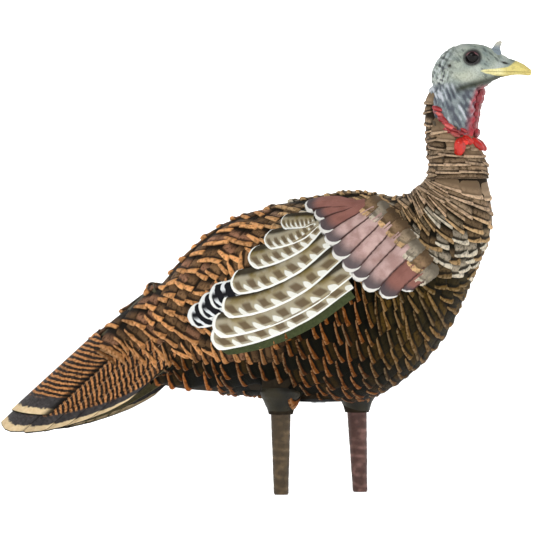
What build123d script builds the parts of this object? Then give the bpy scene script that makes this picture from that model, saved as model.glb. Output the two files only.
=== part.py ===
"""Upright hen turkey decoy: a hollow moulded body that swivels on a stake tube, with a plug-in head.

Frame: millimetres, +X towards the beak, +Y to the bird's left, +Z up.
The origin is the mouth of the stake tube, under the belly.
"""

from build123d import *
import os
from math import asin, cos, degrees, hypot, radians, sin

os.makedirs("parts", exist_ok=True)

# ---- body form --------------------------------------------------------------
WALL = 3.0  # moulded wall of the body
FIT = 0.15  # clearance between pieces that rest on each other
OVAL_POINTS = 12
# Stations from rump to neck: back x, z, then belly or breast x, z, then half width.
TORSO = [
    (-246, 96, -238, 62, 20),
    (-230, 113, -218, 33, 38),
    (-200, 142, -192, 20, 58),
    (-158, 189, -158, 15, 77),
    (-100, 228, -112, 12, 96),
    (-40, 246, -56, 9, 107),
    (20, 258, 8, 5, 110),
    (62, 259, 66, 8, 106),
    (92, 254, 118, 40, 96),
    (110, 256, 156, 84, 84),
    (121, 261, 186, 143, 68),
    (130, 269, 207, 192, 53),
    (137, 277, 215, 240, 41),
]

# ---- neck joint, a circle square to the vertical turning axis ---------------
NECK_X = 175.5
SEAM_Z = 284.0
SEAM_R = 35.0
SEAM_GAP = 0.3
MOUTH_R = 32.0  # inside both shells at the joint
LEDGE_LOW, LEDGE_HIGH, LEDGE_BORE_R = 262.0, 270.0, 27.2
COLLAR_LOW, COLLAR_R = 244.0, 26.9
SOCKET_R = 24.0
SPIGOT_R = 23.8
SPIGOT_LOW = 250.0
SPIGOT_BORE_R = 20.0
GRIP_Z, GRIP_MIDDLE_R, GRIP_R = 276.0, 25.85, 1.9
GRIP_GROOVE_R = 2.1
HEAD_FLANGE_TOP, HEAD_LEDGE_TOP = 290.0, 298.0
HEAD_LEDGE_BORE_R = 14.0
NECK_SCREW_RING_R = 29.3
NECK_SCREW_R, NECK_SCREW_HEAD_R, NECK_SCREW_HEAD = 1.2, 2.4, 2.0
COLLAR_SCREW_SHANK, SPIGOT_SCREW_SHANK = 16.0, 10.5

# ---- head and neck ----------------------------------------------------------
# Neck stations: height, middle x, half depth, half width.
NECK = [
    (300, 174, 33.5, 32),
    (325, 168.5, 30, 28.5),
    (350, 167, 30.5, 27),
    (370, 169, 32, 26),
    (392, 176, 31, 24),
    (410, 184, 26, 20),
]
# Head stations from the nape to the beak tip: x, top z, bottom z, half width.
HEAD = [
    (144.5, 411, 391, 8),
    (152, 425, 380, 17),
    (166, 438, 376, 23),
    (186, 443, 379, 25.5),
    (204, 442, 386, 22),
    (219, 436, 397, 15.5),
    (232, 428, 402, 11),
    (246, 422.5, 404.5, 8.5),
    (259, 416.5, 404, 6.5),
    (267, 410.5, 405, 3.5),
]
EYE_X, EYE_Z = 197.0, 425.5
EYE_R = 9.0
EYE_MIDDLE = 17.0  # from the centre plane
SNOOD_BASE, SNOOD_TIP = (222.0, 428.0), (229.0, 443.0)
SNOOD_R = 3.6
NECK_WALL = 4.0

# ---- tail -------------------------------------------------------------------
RIDGE_X, RIDGE_Z = -216.0, 140.0
RIDGE_DROP = 41.8  # degrees that the ridge falls towards the tail tip
TAIL_ARCH = 110.0
TAIL_THICK = 9.0
# Arch stations: distance down the ridge, half width.
TAIL = [(-30, 80), (20, 68), (75, 62), (130, 62), (190, 66), (256, 70)]
# Side outline: distance down the ridge, depth under it.
TAIL_LOWER_EDGE = [(236, -2), (239, 16), (214, 42), (176, 65), (93, 90), (20, 100)]
TAIL_FRONT = -12.0

# ---- wings ------------------------------------------------------------------
WING_THICK = 8.0
# Outline of the folded wing in side view, from the shoulder back along the top to the tips.
WING_TOP = [(136, 165), (100, 215), (54, 239), (2, 240)]
WING_BACK = [(2, 240), (-44, 202), (-82, 155), (-132, 126)]
WING_TIP = [(-132, 126), (-144, 107), (-121, 84), (-90, 68)]
WING_LOW = [(-90, 68), (-4, 84), (54, 124), (108, 130), (136, 165)]

# ---- push pegs that hold the wings and the tail -----------------------------
PEG_R = 4.0
PEG_OUT, PEG_LENGTH = 5.0, 14.0  # how far a peg stands out of the body, and its whole length
WING_PEGS = [(-70, 130, 101.5), (55, 170, 101.0)]  # x, z, and the body's half width there
TAIL_PEG_S, TAIL_PEG_Y, TAIL_PEG_DEPTH = 8.0, 16.0, 12.0

# ---- stake swivel -----------------------------------------------------------
STAKE_BORE_R = 6.5
BORE_DEPTH = 232.0
TUBE_R = 9.0
TUBE_TOP = 238.0
RUNNING = 0.05  # radial clearance of the tube in its bearings
FLANGE_R, FLANGE_LOW, FLANGE_HIGH = 34.0, 2.0, 6.0
HUB_R, HUB_TOP = 16.0, 30.0
PAD_R, PAD_TOP = 38.0, 14.0
FLANGE_SCREW_RING_R, FLANGE_SCREW_TIP = 27.0, 13.0
FLANGE_SCREW_R, FLANGE_SCREW_HEAD_R, FLANGE_SCREW_HEAD = 1.5, 2.9, 2.0
STOP_PIN_R, STOP_PIN_Z, STOP_PIN_ROOT, STOP_PIN_END = 2.0, 25.0, 7.4, 14.0
SWIVEL = 30.0  # degrees each way
CUP_R, CUP_LOW = 18.0, 222.0
WASHER_THICK, END_PLAY = 1.5, 0.05
CLIP_LOW, CLIP_THICK, CLIP_R, CLIP_GROOVE_R = 30.5, 1.2, 12.5, 8.0

# ---- legs -------------------------------------------------------------------
LEG_TOP_Z, LEG_FOOT_Z = -13.0, -112.0
LEG_TOP_R, LEG_FOOT_R = 12.2, 9.1
# Each leg: middle x and y at its top, and how far its foot stands forward of that.
LEGS = {"leg_right": (-38.0, -45.0, 0.5), "leg_left": (40.0, 45.0, 4.0)}
SKIRT_R, SKIRT_TOP_R, SKIRT_TOP_Z = 14.8, 30.0, 42.0
LEG_SPIGOT_R, LEG_SPIGOT_TOP = 8.0, 6.0
STUD_R, STUD_LOW, STUD_TOP = 4.0, -8.0, 24.0
INSERT_R, INSERT_LOW, BOSS_TOP = 7.0, 12.0, 28.0
BOSS_R = 12.0


def station_plane(top_x, top_z, low_x, low_z):
    """Plane through a station's two points, square to the bird's centre plane."""
    along_x, along_z = top_x - low_x, top_z - low_z
    middle = ((top_x + low_x) / 2, 0, (top_z + low_z) / 2)
    return Plane(origin=middle, x_dir=(along_x, 0, along_z), z_dir=(-along_z, 0, along_x))


def oval(half_height, half_width):
    """Points of an ellipse, started at the same place whichever way it is longer."""
    turns = [radians(360 * step / OVAL_POINTS) for step in range(OVAL_POINTS)]
    return [(half_height * cos(turn), half_width * sin(turn)) for turn in turns]


def lofted(stations, grow=0.0):
    """Solid through oval stations, each made larger all round by grow."""
    with BuildPart() as form:
        for top_x, top_z, low_x, low_z, half in stations:
            half_height = hypot(top_x - low_x, top_z - low_z) / 2
            with BuildSketch(station_plane(top_x, top_z, low_x, low_z)):
                with BuildLine():
                    Spline(oval(half_height + grow, half + grow), periodic=True)
                make_face()
        loft()
    return form.part


def torso_form(grow=0.0, skip=0):
    """The body up to the neck joint, without its first few stations if asked."""
    mouth = (NECK_X - SEAM_R, SEAM_Z, NECK_X + SEAM_R, SEAM_Z, SEAM_R)
    with BuildPart() as form:
        add(lofted(TORSO[skip:], grow))
        add(lofted([TORSO[-1], mouth], grow))
    return form.part


def neck_form(grow=0.0):
    """The neck above the joint, fused with the head and beak."""
    base = (SEAM_Z + SEAM_GAP, NECK_X, SEAM_R, SEAM_R)
    stations = [(x - depth, z, x + depth, z, width) for z, x, depth, width in [base] + NECK]
    with BuildPart() as form:
        add(lofted(stations, grow))
        add(lofted([(x, top, x, low, half) for x, top, low, half in HEAD], grow))
    return form.part


def ridge_plane(distance):
    """Plane square to the tail's ridge, its Y axis up and its normal towards the tip."""
    fall = radians(RIDGE_DROP)
    along = Vector(-cos(fall), 0, -sin(fall))
    return Plane(origin=Vector(RIDGE_X, 0, RIDGE_Z) + along * distance, x_dir=(0, -1, 0), z_dir=along)


def tail_arch(grow=0.0):
    """The tail's arched form before its outline is cut."""
    with BuildPart() as arch:
        for distance, half in TAIL:
            with BuildSketch(ridge_plane(distance)):
                with BuildLine():
                    ring = oval(TAIL_ARCH + grow, half + grow)
                    Spline([(y, up - TAIL_ARCH) for up, y in ring], periodic=True)
                make_face()
        loft()
    return arch.part


def rods(planes, radius, length):
    """Round bars that start on each plane and run along its normal."""
    with BuildPart() as made:
        with BuildSketch(*planes):
            Circle(radius)
        extrude(amount=length)
    return made.part


def ring_planes(ring_r, height, count, middle=(0.0, 0.0), start=45.0, up=1):
    """Planes on a ring of screws, their normals up or down."""
    turns = [radians(start + 360 * step / count) for step in range(count)]
    return [
        Plane(origin=(middle[0] + ring_r * cos(a), middle[1] + ring_r * sin(a), height), z_dir=(0, 0, up))
        for a in turns
    ]


def finish(part, name):
    """Label a finished piece and write it."""
    part.label = name
    export_step(part, f"parts/{name}.step")


# ---- shared forms -----------------------------------------------------------
body_outside = torso_form()
body_clear = torso_form(FIT)
body_cavity = torso_form(-WALL, skip=1)
leg_spots = [(x, y) for x, y, _ in LEGS.values()]
# Each peg's plane is its outer end, with the normal inwards.
wing_peg_planes = [
    Plane(origin=(x, side * (half + PEG_OUT), z), z_dir=(0, -side, 0))
    for x, z, half in WING_PEGS
    for side in (-1, 1)
]
tail_peg_planes = []
for side in (-1, 1):
    on_ridge = ridge_plane(TAIL_PEG_S)
    spot = on_ridge.from_local_coords((side * TAIL_PEG_Y, PEG_OUT - TAIL_PEG_DEPTH, 0))
    tail_peg_planes.append(Plane(origin=spot, z_dir=-on_ridge.y_dir))
collar_screw_planes = ring_planes(NECK_SCREW_RING_R, SEAM_Z - 0.3, 3, (NECK_X, 0), 60, -1)
spigot_screw_planes = ring_planes(NECK_SCREW_RING_R, SEAM_Z + SEAM_GAP, 3, (NECK_X, 0), 0, 1)
flange_screw_planes = ring_planes(FLANGE_SCREW_RING_R, FLANGE_LOW, 4)

# ---- body shell, moulded in two halves bonded at the centre plane -----------
with BuildPart() as hollow:
    add(body_cavity)
    with Locations((NECK_X, 0, (LEDGE_LOW + LEDGE_HIGH) / 2)):
        Cylinder(70, LEDGE_HIGH - LEDGE_LOW, mode=Mode.SUBTRACT)

with BuildPart() as body_shell:
    add(body_outside)
    with Locations(*[(x, y, (LEG_TOP_Z + SKIRT_TOP_Z) / 2) for x, y in leg_spots]):
        Cone(SKIRT_R, SKIRT_TOP_R, SKIRT_TOP_Z - LEG_TOP_Z)
    add(hollow.part, mode=Mode.SUBTRACT)
    # mouth of the neck, and the hole through the ledge that its collar is screwed to
    with BuildSketch(Plane.XY.offset(LEDGE_HIGH)):
        with Locations((NECK_X, 0)):
            Circle(MOUTH_R)
    extrude(amount=20, mode=Mode.SUBTRACT)
    with BuildSketch(Plane.XY.offset(LEDGE_LOW - 1)):
        with Locations((NECK_X, 0)):
            Circle(LEDGE_BORE_R)
    extrude(amount=20, mode=Mode.SUBTRACT)
    # flat pad for the flange, and bosses for the leg inserts
    with BuildSketch(Plane.XY.offset(FLANGE_HIGH)):
        Circle(PAD_R)
    extrude(amount=PAD_TOP - FLANGE_HIGH)
    with BuildSketch(Plane.XY.offset(LEG_TOP_Z)):
        with Locations(*leg_spots):
            Circle(BOSS_R)
    extrude(amount=BOSS_TOP - LEG_TOP_Z)
    with BuildSketch(Plane.XY.offset(FLANGE_HIGH)):
        Circle(PAD_R)
    extrude(amount=-40, mode=Mode.SUBTRACT)
    with BuildSketch(Plane.XY):
        Circle(HUB_R + FIT)
    extrude(amount=PAD_TOP + 1, mode=Mode.SUBTRACT)
    with BuildSketch(Plane.XY.offset(LEG_TOP_Z - 1)):
        with Locations(*leg_spots):
            Circle(LEG_SPIGOT_R + FIT)
    extrude(amount=LEG_SPIGOT_TOP - LEG_TOP_Z + 1.3, mode=Mode.SUBTRACT)
    with BuildSketch(Plane.XY):
        with Locations(*leg_spots):
            Circle(STUD_R + FIT)
    extrude(amount=INSERT_LOW + 1, mode=Mode.SUBTRACT)
    with BuildSketch(Plane.XY.offset(INSERT_LOW)):
        with Locations(*leg_spots):
            Circle(INSERT_R + 0.02)
    extrude(amount=BOSS_TOP, mode=Mode.SUBTRACT)
    add(rods(wing_peg_planes + tail_peg_planes, PEG_R + FIT, PEG_LENGTH + 30), mode=Mode.SUBTRACT)
    add(rods(collar_screw_planes, NECK_SCREW_R, 19), mode=Mode.SUBTRACT)
    add(rods(flange_screw_planes, 1.5, FLANGE_SCREW_TIP - FLANGE_LOW + 0.5), mode=Mode.SUBTRACT)

with BuildPart() as body_shell_left:
    add(body_shell.part)
    split(bisect_by=Plane.XZ, keep=Keep.BOTTOM)
finish(body_shell_left.part, "body_shell_left")

with BuildPart() as body_shell_right:
    add(body_shell.part)
    split(bisect_by=Plane.XZ, keep=Keep.TOP)
finish(body_shell_right.part, "body_shell_right")

# ---- wings ------------------------------------------------------------------
wing_outside = torso_form(WING_THICK)
with BuildPart() as wing_right:
    with BuildSketch(Plane.XZ):
        with BuildLine():
            for outline in (WING_TOP, WING_BACK, WING_TIP, WING_LOW):
                Spline(outline)
        make_face()
    extrude(amount=160)
    add(wing_outside, mode=Mode.INTERSECT)
    add(body_clear, mode=Mode.SUBTRACT)
    add(rods(wing_peg_planes, PEG_R + FIT, PEG_LENGTH), mode=Mode.SUBTRACT)
finish(wing_right.part, "wing_right")

with BuildPart() as wing_left:
    add(mirror(wing_right.part, about=Plane.XZ))
finish(wing_left.part, "wing_left")

# ---- tail fan ---------------------------------------------------------------
with BuildPart() as tail_fan:
    tail_side = Plane(origin=(RIDGE_X, 0, RIDGE_Z), x_dir=ridge_plane(0).z_dir, z_dir=(0, 1, 0))
    with BuildSketch(tail_side):
        with BuildLine():
            edge = Spline([(s, -depth) for s, depth in TAIL_LOWER_EDGE])
            Polyline([edge @ 1, (TAIL_FRONT, -100), (TAIL_FRONT, 6), (TAIL_LOWER_EDGE[0][0], 6), edge @ 0])
        make_face()
    extrude(amount=100, both=True)
    add(tail_arch(), mode=Mode.INTERSECT)
    add(tail_arch(-TAIL_THICK), mode=Mode.SUBTRACT)
    add(body_clear, mode=Mode.SUBTRACT)
    add(rods(tail_peg_planes, PEG_R + FIT, PEG_LENGTH), mode=Mode.SUBTRACT)
finish(tail_fan.part, "tail_fan")

with BuildPart() as wing_pegs:
    add(rods(wing_peg_planes, PEG_R, PEG_LENGTH))
finish(wing_pegs.part, "wing_pegs")

with BuildPart() as tail_pegs:
    add(rods(tail_peg_planes, PEG_R, PEG_LENGTH))
finish(tail_pegs.part, "tail_pegs")

# ---- legs -------------------------------------------------------------------
for name, (leg_x, leg_y, lean) in LEGS.items():
    with BuildPart() as leg:
        with BuildSketch(Plane.XY.offset(LEG_FOOT_Z)):
            with Locations((leg_x + lean, leg_y)):
                Circle(LEG_FOOT_R)
        with BuildSketch(Plane.XY.offset(LEG_TOP_Z)):
            with Locations((leg_x, leg_y)):
                Circle(LEG_TOP_R)
        loft()
        fillet(leg.edges().sort_by(Axis.Z)[:1], 1.5)
        with BuildSketch(Plane.XY.offset(LEG_TOP_Z)):
            with Locations((leg_x, leg_y)):
                Circle(LEG_SPIGOT_R)
        extrude(amount=LEG_SPIGOT_TOP - LEG_TOP_Z)
        with BuildSketch(Plane.XY.offset(STUD_LOW)):
            with Locations((leg_x, leg_y)):
                Circle(STUD_R)
        extrude(amount=LEG_SPIGOT_TOP - STUD_LOW, mode=Mode.SUBTRACT)
    finish(leg.part, name)

with BuildPart() as leg_studs:
    with BuildSketch(Plane.XY.offset(STUD_LOW)):
        with Locations(*leg_spots):
            Circle(STUD_R)
    extrude(amount=STUD_TOP - STUD_LOW)
finish(leg_studs.part, "leg_studs")

with BuildPart() as leg_inserts:
    with BuildSketch(Plane.XY.offset(INSERT_LOW)):
        with Locations(*leg_spots):
            Circle(INSERT_R)
            Circle(STUD_R, mode=Mode.SUBTRACT)
    extrude(amount=BOSS_TOP - INSERT_LOW)
finish(leg_inserts.part, "leg_inserts")

# ---- stake tube and its stops -----------------------------------------------
with BuildPart() as stake_tube:
    with BuildSketch():
        Circle(TUBE_R)
    extrude(amount=TUBE_TOP)
    fillet(stake_tube.edges().sort_by(Axis.Z)[-1:], 1.0)
    with BuildSketch():
        Circle(STAKE_BORE_R)
    extrude(amount=BORE_DEPTH, mode=Mode.SUBTRACT)
    with BuildSketch(Plane.XY.offset(CLIP_LOW)):
        Circle(TUBE_R + 1)
        Circle(CLIP_GROOVE_R, mode=Mode.SUBTRACT)
    extrude(amount=CLIP_THICK, mode=Mode.SUBTRACT)
    with BuildSketch(Plane(origin=(STOP_PIN_ROOT, 0, STOP_PIN_Z), z_dir=(1, 0, 0))):
        Circle(STOP_PIN_R)
    extrude(amount=STOP_PIN_END, mode=Mode.SUBTRACT)
finish(stake_tube.part, "stake_tube")

with BuildPart() as stop_pin:
    with BuildSketch(Plane(origin=(STOP_PIN_ROOT, 0, STOP_PIN_Z), z_dir=(1, 0, 0))):
        Circle(STOP_PIN_R)
    extrude(amount=STOP_PIN_END - STOP_PIN_ROOT)
finish(stop_pin.part, "stop_pin")

with BuildPart() as retaining_clip:
    with BuildSketch(Plane.XY.offset(CLIP_LOW)):
        Circle(CLIP_R)
        Circle(CLIP_GROOVE_R, mode=Mode.SUBTRACT)
        with Locations((CLIP_R, 0)):
            Rectangle(CLIP_R, 8, mode=Mode.SUBTRACT)
    extrude(amount=CLIP_THICK)
finish(retaining_clip.part, "retaining_clip")

with BuildPart() as thrust_washer:
    with BuildSketch(Plane.XY.offset(TUBE_TOP)):
        Circle(TUBE_R - 1.5)
    extrude(amount=WASHER_THICK)
finish(thrust_washer.part, "thrust_washer")

# ---- bearings of the body on the tube ---------------------------------------
with BuildPart() as belly_flange:
    with BuildSketch(Plane.XY.offset(FLANGE_LOW)):
        Circle(FLANGE_R)
    extrude(amount=FLANGE_HIGH - FLANGE_LOW)
    fillet(belly_flange.edges().sort_by(Axis.Z)[:1], 1.0)
    with BuildSketch(Plane.XY.offset(FLANGE_HIGH)):
        Circle(HUB_R)
    extrude(amount=HUB_TOP - FLANGE_HIGH)
    with BuildSketch(Plane.XY.offset(FLANGE_LOW)):
        Circle(TUBE_R + RUNNING)
    extrude(amount=HUB_TOP, mode=Mode.SUBTRACT)
    # slot for the stop pin, open at the top of the hub
    slot_side = SWIVEL + degrees(asin(STOP_PIN_R / TUBE_R)) + 2
    slot_reach = 4 * HUB_R
    with BuildSketch(Plane.XY.offset(STOP_PIN_Z - STOP_PIN_R - 0.4)):
        Circle(STOP_PIN_END + 0.4)
        with BuildLine():
            across, up = slot_reach * cos(radians(slot_side)), slot_reach * sin(radians(slot_side))
            Polyline([(0, 0), (across, -up), (across, up)], close=True)
        make_face(mode=Mode.INTERSECT)
    extrude(amount=HUB_TOP, mode=Mode.SUBTRACT)
    add(rods(flange_screw_planes, FLANGE_SCREW_R, FLANGE_HIGH - FLANGE_LOW + 1), mode=Mode.SUBTRACT)
    add(rods(flange_screw_planes, FLANGE_SCREW_HEAD_R + 0.1, FLANGE_SCREW_HEAD), mode=Mode.SUBTRACT)
finish(belly_flange.part, "belly_flange")

with BuildPart() as flange_screws:
    screw_heads = [plane.offset(0.2) for plane in flange_screw_planes]
    add(rods(screw_heads, FLANGE_SCREW_HEAD_R, FLANGE_SCREW_HEAD - 0.2))
    screw_shanks = [plane.offset(FLANGE_SCREW_HEAD) for plane in flange_screw_planes]
    add(rods(screw_shanks, FLANGE_SCREW_R, FLANGE_SCREW_TIP - FLANGE_LOW - FLANGE_SCREW_HEAD))
finish(flange_screws.part, "flange_screws")

with BuildPart() as back_cup:
    with BuildSketch(Plane.XY.offset(CUP_LOW)):
        Circle(CUP_R)
    extrude(amount=60)
    add(torso_form(-WALL - FIT, skip=1), mode=Mode.INTERSECT)
    with BuildSketch(Plane.XY.offset(CUP_LOW)):
        Circle(TUBE_R + RUNNING)
    extrude(amount=TUBE_TOP + WASHER_THICK + END_PLAY - CUP_LOW, mode=Mode.SUBTRACT)
finish(back_cup.part, "back_cup")

# ---- neck joint -------------------------------------------------------------
with BuildPart() as neck_collar:
    with BuildSketch(Plane.XY.offset(COLLAR_LOW)):
        with Locations((NECK_X, 0)):
            Circle(COLLAR_R)
    extrude(amount=LEDGE_HIGH - COLLAR_LOW)
    with BuildSketch(Plane.XY.offset(LEDGE_HIGH)):
        with Locations((NECK_X, 0)):
            Circle(MOUTH_R - FIT)
    extrude(amount=SEAM_Z - 0.1 - LEDGE_HIGH)
    with BuildSketch(Plane.XY.offset(COLLAR_LOW)):
        with Locations((NECK_X, 0)):
            Circle(SOCKET_R)
    extrude(amount=50, mode=Mode.SUBTRACT)
    with Locations((NECK_X, 0, GRIP_Z)):
        Torus(GRIP_MIDDLE_R, GRIP_GROOVE_R, mode=Mode.SUBTRACT)
    add(rods(collar_screw_planes, NECK_SCREW_R, 20), mode=Mode.SUBTRACT)
    head_pockets = [plane.offset(-1) for plane in collar_screw_planes]
    add(rods(head_pockets, NECK_SCREW_HEAD_R + 0.1, NECK_SCREW_HEAD + 1.1), mode=Mode.SUBTRACT)
finish(neck_collar.part, "neck_collar")

with BuildPart() as collar_screws:
    add(rods(collar_screw_planes, NECK_SCREW_HEAD_R, NECK_SCREW_HEAD))
    screw_shanks = [plane.offset(NECK_SCREW_HEAD) for plane in collar_screw_planes]
    add(rods(screw_shanks, NECK_SCREW_R, COLLAR_SCREW_SHANK))
finish(collar_screws.part, "collar_screws")

with BuildPart() as grip_ring:
    with Locations((NECK_X, 0, GRIP_Z)):
        Torus(GRIP_MIDDLE_R, GRIP_R)
finish(grip_ring.part, "grip_ring")

# ---- head -------------------------------------------------------------------
with BuildPart() as head_shell:
    add(neck_form())
    snood_rise = (SNOOD_TIP[0] - SNOOD_BASE[0], 0, SNOOD_TIP[1] - SNOOD_BASE[1])
    with BuildSketch(Plane(origin=(SNOOD_BASE[0], 0, SNOOD_BASE[1]), z_dir=snood_rise)):
        Circle(SNOOD_R)
    extrude(amount=hypot(snood_rise[0], snood_rise[2]))
    with Locations((SNOOD_TIP[0], 0, SNOOD_TIP[1])):
        Sphere(SNOOD_R)
    # hollow neck above the ledge that the spigot is screwed to
    neck_hollow = [(x - depth, z, x + depth, z, width) for z, x, depth, width in NECK[:4]]
    add(lofted(neck_hollow, -NECK_WALL), mode=Mode.SUBTRACT)
    with BuildSketch(Plane.XY.offset(HEAD_LEDGE_TOP)):
        with Locations((NECK_X, 0)):
            Circle(MOUTH_R - NECK_WALL)
    extrude(amount=NECK[0][0] - HEAD_LEDGE_TOP, mode=Mode.SUBTRACT)
    with BuildSketch(Plane.XY.offset(HEAD_LEDGE_TOP)):
        with Locations((NECK_X, 0)):
            Circle(HEAD_LEDGE_BORE_R)
    extrude(amount=-20, mode=Mode.SUBTRACT)
    with BuildSketch(Plane.XY.offset(HEAD_FLANGE_TOP)):
        with Locations((NECK_X, 0)):
            Circle(MOUTH_R)
    extrude(amount=-20, mode=Mode.SUBTRACT)
    add(rods(spigot_screw_planes, NECK_SCREW_R, 13), mode=Mode.SUBTRACT)
    with Locations(*[(EYE_X, side * EYE_MIDDLE, EYE_Z) for side in (-1, 1)]):
        Sphere(EYE_R + FIT, mode=Mode.SUBTRACT)
finish(head_shell.part, "head_shell")

for name, side in (("eye_right", -1), ("eye_left", 1)):
    with BuildPart() as eye:
        with Locations((EYE_X, side * EYE_MIDDLE, EYE_Z)):
            Sphere(EYE_R)
    finish(eye.part, name)

with BuildPart() as neck_spigot:
    with BuildSketch(Plane.XY.offset(SPIGOT_LOW)):
        with Locations((NECK_X, 0)):
            Circle(SPIGOT_R)
    extrude(amount=HEAD_FLANGE_TOP - SPIGOT_LOW)
    chamfer(neck_spigot.edges().sort_by(Axis.Z)[:1], 1.5)
    with BuildSketch(Plane.XY.offset(SEAM_Z + SEAM_GAP)):
        with Locations((NECK_X, 0)):
            Circle(MOUTH_R - FIT)
    extrude(amount=HEAD_FLANGE_TOP - SEAM_Z - SEAM_GAP)
    with BuildSketch(Plane.XY.offset(SPIGOT_LOW)):
        with Locations((NECK_X, 0)):
            Circle(SPIGOT_BORE_R)
    extrude(amount=50, mode=Mode.SUBTRACT)
    add(rods(spigot_screw_planes, NECK_SCREW_R, 20), mode=Mode.SUBTRACT)
    add(rods(spigot_screw_planes, NECK_SCREW_HEAD_R + 0.1, NECK_SCREW_HEAD + 0.2), mode=Mode.SUBTRACT)
finish(neck_spigot.part, "neck_spigot")

with BuildPart() as spigot_screws:
    screw_heads = [plane.offset(0.2) for plane in spigot_screw_planes]
    add(rods(screw_heads, NECK_SCREW_HEAD_R, NECK_SCREW_HEAD))
    screw_shanks = [plane.offset(0.2 + NECK_SCREW_HEAD) for plane in spigot_screw_planes]
    add(rods(screw_shanks, NECK_SCREW_R, SPIGOT_SCREW_SHANK))
finish(spigot_screws.part, "spigot_screws")
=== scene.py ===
"""Looks of the hen turkey decoy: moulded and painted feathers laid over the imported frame.

Lengths are in metres. +X is towards the beak, +Y to the bird's left, +Z up.
"""

import math

import bpy
import numpy as np
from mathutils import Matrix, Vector
from mathutils.bvhtree import BVHTree


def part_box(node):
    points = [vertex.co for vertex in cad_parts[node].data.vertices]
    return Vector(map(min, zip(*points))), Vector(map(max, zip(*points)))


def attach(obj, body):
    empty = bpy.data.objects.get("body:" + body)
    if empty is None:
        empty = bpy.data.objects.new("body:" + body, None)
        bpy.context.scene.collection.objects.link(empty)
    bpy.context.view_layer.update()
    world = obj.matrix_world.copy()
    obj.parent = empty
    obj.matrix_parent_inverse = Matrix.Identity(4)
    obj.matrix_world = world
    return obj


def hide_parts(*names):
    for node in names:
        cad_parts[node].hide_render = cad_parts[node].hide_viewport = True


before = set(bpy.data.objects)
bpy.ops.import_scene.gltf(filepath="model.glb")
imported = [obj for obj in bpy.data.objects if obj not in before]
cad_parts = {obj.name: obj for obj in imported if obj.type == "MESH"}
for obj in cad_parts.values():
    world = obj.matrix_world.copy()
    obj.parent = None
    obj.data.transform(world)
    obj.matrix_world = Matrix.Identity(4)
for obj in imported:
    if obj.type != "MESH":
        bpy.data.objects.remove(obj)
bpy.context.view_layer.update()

MM = 0.001
rng = np.random.default_rng(11)

# ---- measures read from the frame -------------------------------------------
SEAM_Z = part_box("head_shell")[0].z
LEG_BOXES = [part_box(leg) for leg in ("leg_right", "leg_left")]
FLOOR_Z = min(low.z for low, _ in LEG_BOXES)
LEG_SPOTS = [((low.x + high.x) / 2 / MM, (low.y + high.y) / 2 / MM) for low, high in LEG_BOXES]
EYE = (sum(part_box("eye_right"), Vector()) / 2) / MM

# ---- planes across the bird, in millimetres: back x, z, then belly or breast x, z
BODY_STATIONS = [
    (140.5, 284, 210.5, 284),
    (137, 277, 215, 240),
    (130, 269, 207, 192),
    (121, 261, 186, 143),
    (110, 256, 156, 84),
    (92, 254, 118, 40),
    (62, 259, 66, 8),
    (20, 258, 8, 5),
    (-40, 246, -56, 9),
    (-100, 228, -112, 12),
    (-158, 189, -158, 15),
    (-200, 152, -192, 20),
    (-232, 126, -214, 34),
    (-262, 99, -236, 60),
    (-288, 76, -262, 50),
]
# The same for the head, from the beak back and down to the neck joint.
HEAD_STATIONS = [
    (266.5, 410.5, 266.5, 405),
    (259, 416.5, 259, 404),
    (246, 422.5, 247, 404.5),
    (232, 428, 236, 402.5),
    (219, 436, 230, 402),
    (204, 442, 226, 400.5),
    (186, 443.5, 222, 399),
    (166, 438, 219, 398),
    (152, 425, 216, 396),
    (144, 408, 212, 391),
    (140, 390, 206, 382),
    (137, 370, 201, 370),
    (136.5, 350, 197.5, 350),
    (138.5, 325, 198.5, 325),
    (140.5, 300, 207.5, 300),
    (140.5, 284.5, 210.5, 284.5),
]
RIDGE = Vector((-216, 0, 140)) * MM
RIDGE_DROP = math.radians(41.8)
ALONG_RIDGE = np.array([-math.cos(RIDGE_DROP), 0, -math.sin(RIDGE_DROP)])
OFF_RIDGE = np.array([-math.sin(RIDGE_DROP), 0, math.cos(RIDGE_DROP)])


# ---- small helpers ----------------------------------------------------------
def linear(red, green, blue):
    """Scene-linear colour from 0 to 255 screen values."""
    screen = np.array([red, green, blue]) / 255
    return np.where(screen <= 0.04045, screen / 12.92, ((screen + 0.055) / 1.055) ** 2.4)


def ramp(low, high, value):
    t = np.clip((value - low) / (high - low), 0, 1)
    return t * t * (3 - 2 * t)


def hump(value, centre, spread):
    """A smooth bump: 1 at its centre, falling away to both sides."""
    return np.exp(-(((value - centre) / spread) ** 2))


def layered(colour, *layers):
    """Paint over a colour: each layer is an amount at each point and the screen colour that it brings."""
    for amount, tone in layers:
        colour = colour + (linear(*tone) - colour) * np.clip(amount, 0, 1)[..., None]
    return colour


def grid(downs, rounds):
    """Two tables: one changes from row to row, the other from column to column."""
    return np.meshgrid(downs, rounds, indexing="ij")


def once_round(count):
    return np.linspace(0, 2 * math.pi, count)


def through(knots, count):
    """count rows spaced evenly along a smooth curve through the knots."""
    knots = np.asarray(knots, float)
    padded = np.vstack([2 * knots[0] - knots[1], knots, 2 * knots[-1] - knots[-2]])
    fine = []
    for a, b, c, d in zip(padded, padded[1:], padded[2:], padded[3:]):
        for t in np.linspace(0, 1, 24, endpoint=False):
            square = (2 * a - 5 * b + 4 * c - d) * t**2
            cube = (3 * b - a - 3 * c + d) * t**3
            fine.append(0.5 * (2 * b + (c - a) * t + square + cube))
    fine = np.array(fine + [knots[-1]])
    steps = np.linalg.norm(np.diff(fine, axis=0), axis=1)
    walked = np.concatenate([[0], np.cumsum(steps)])
    wanted = np.linspace(0, walked[-1], count)
    return np.column_stack([np.interp(wanted, walked, fine[:, k]) for k in range(knots.shape[1])])


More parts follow.
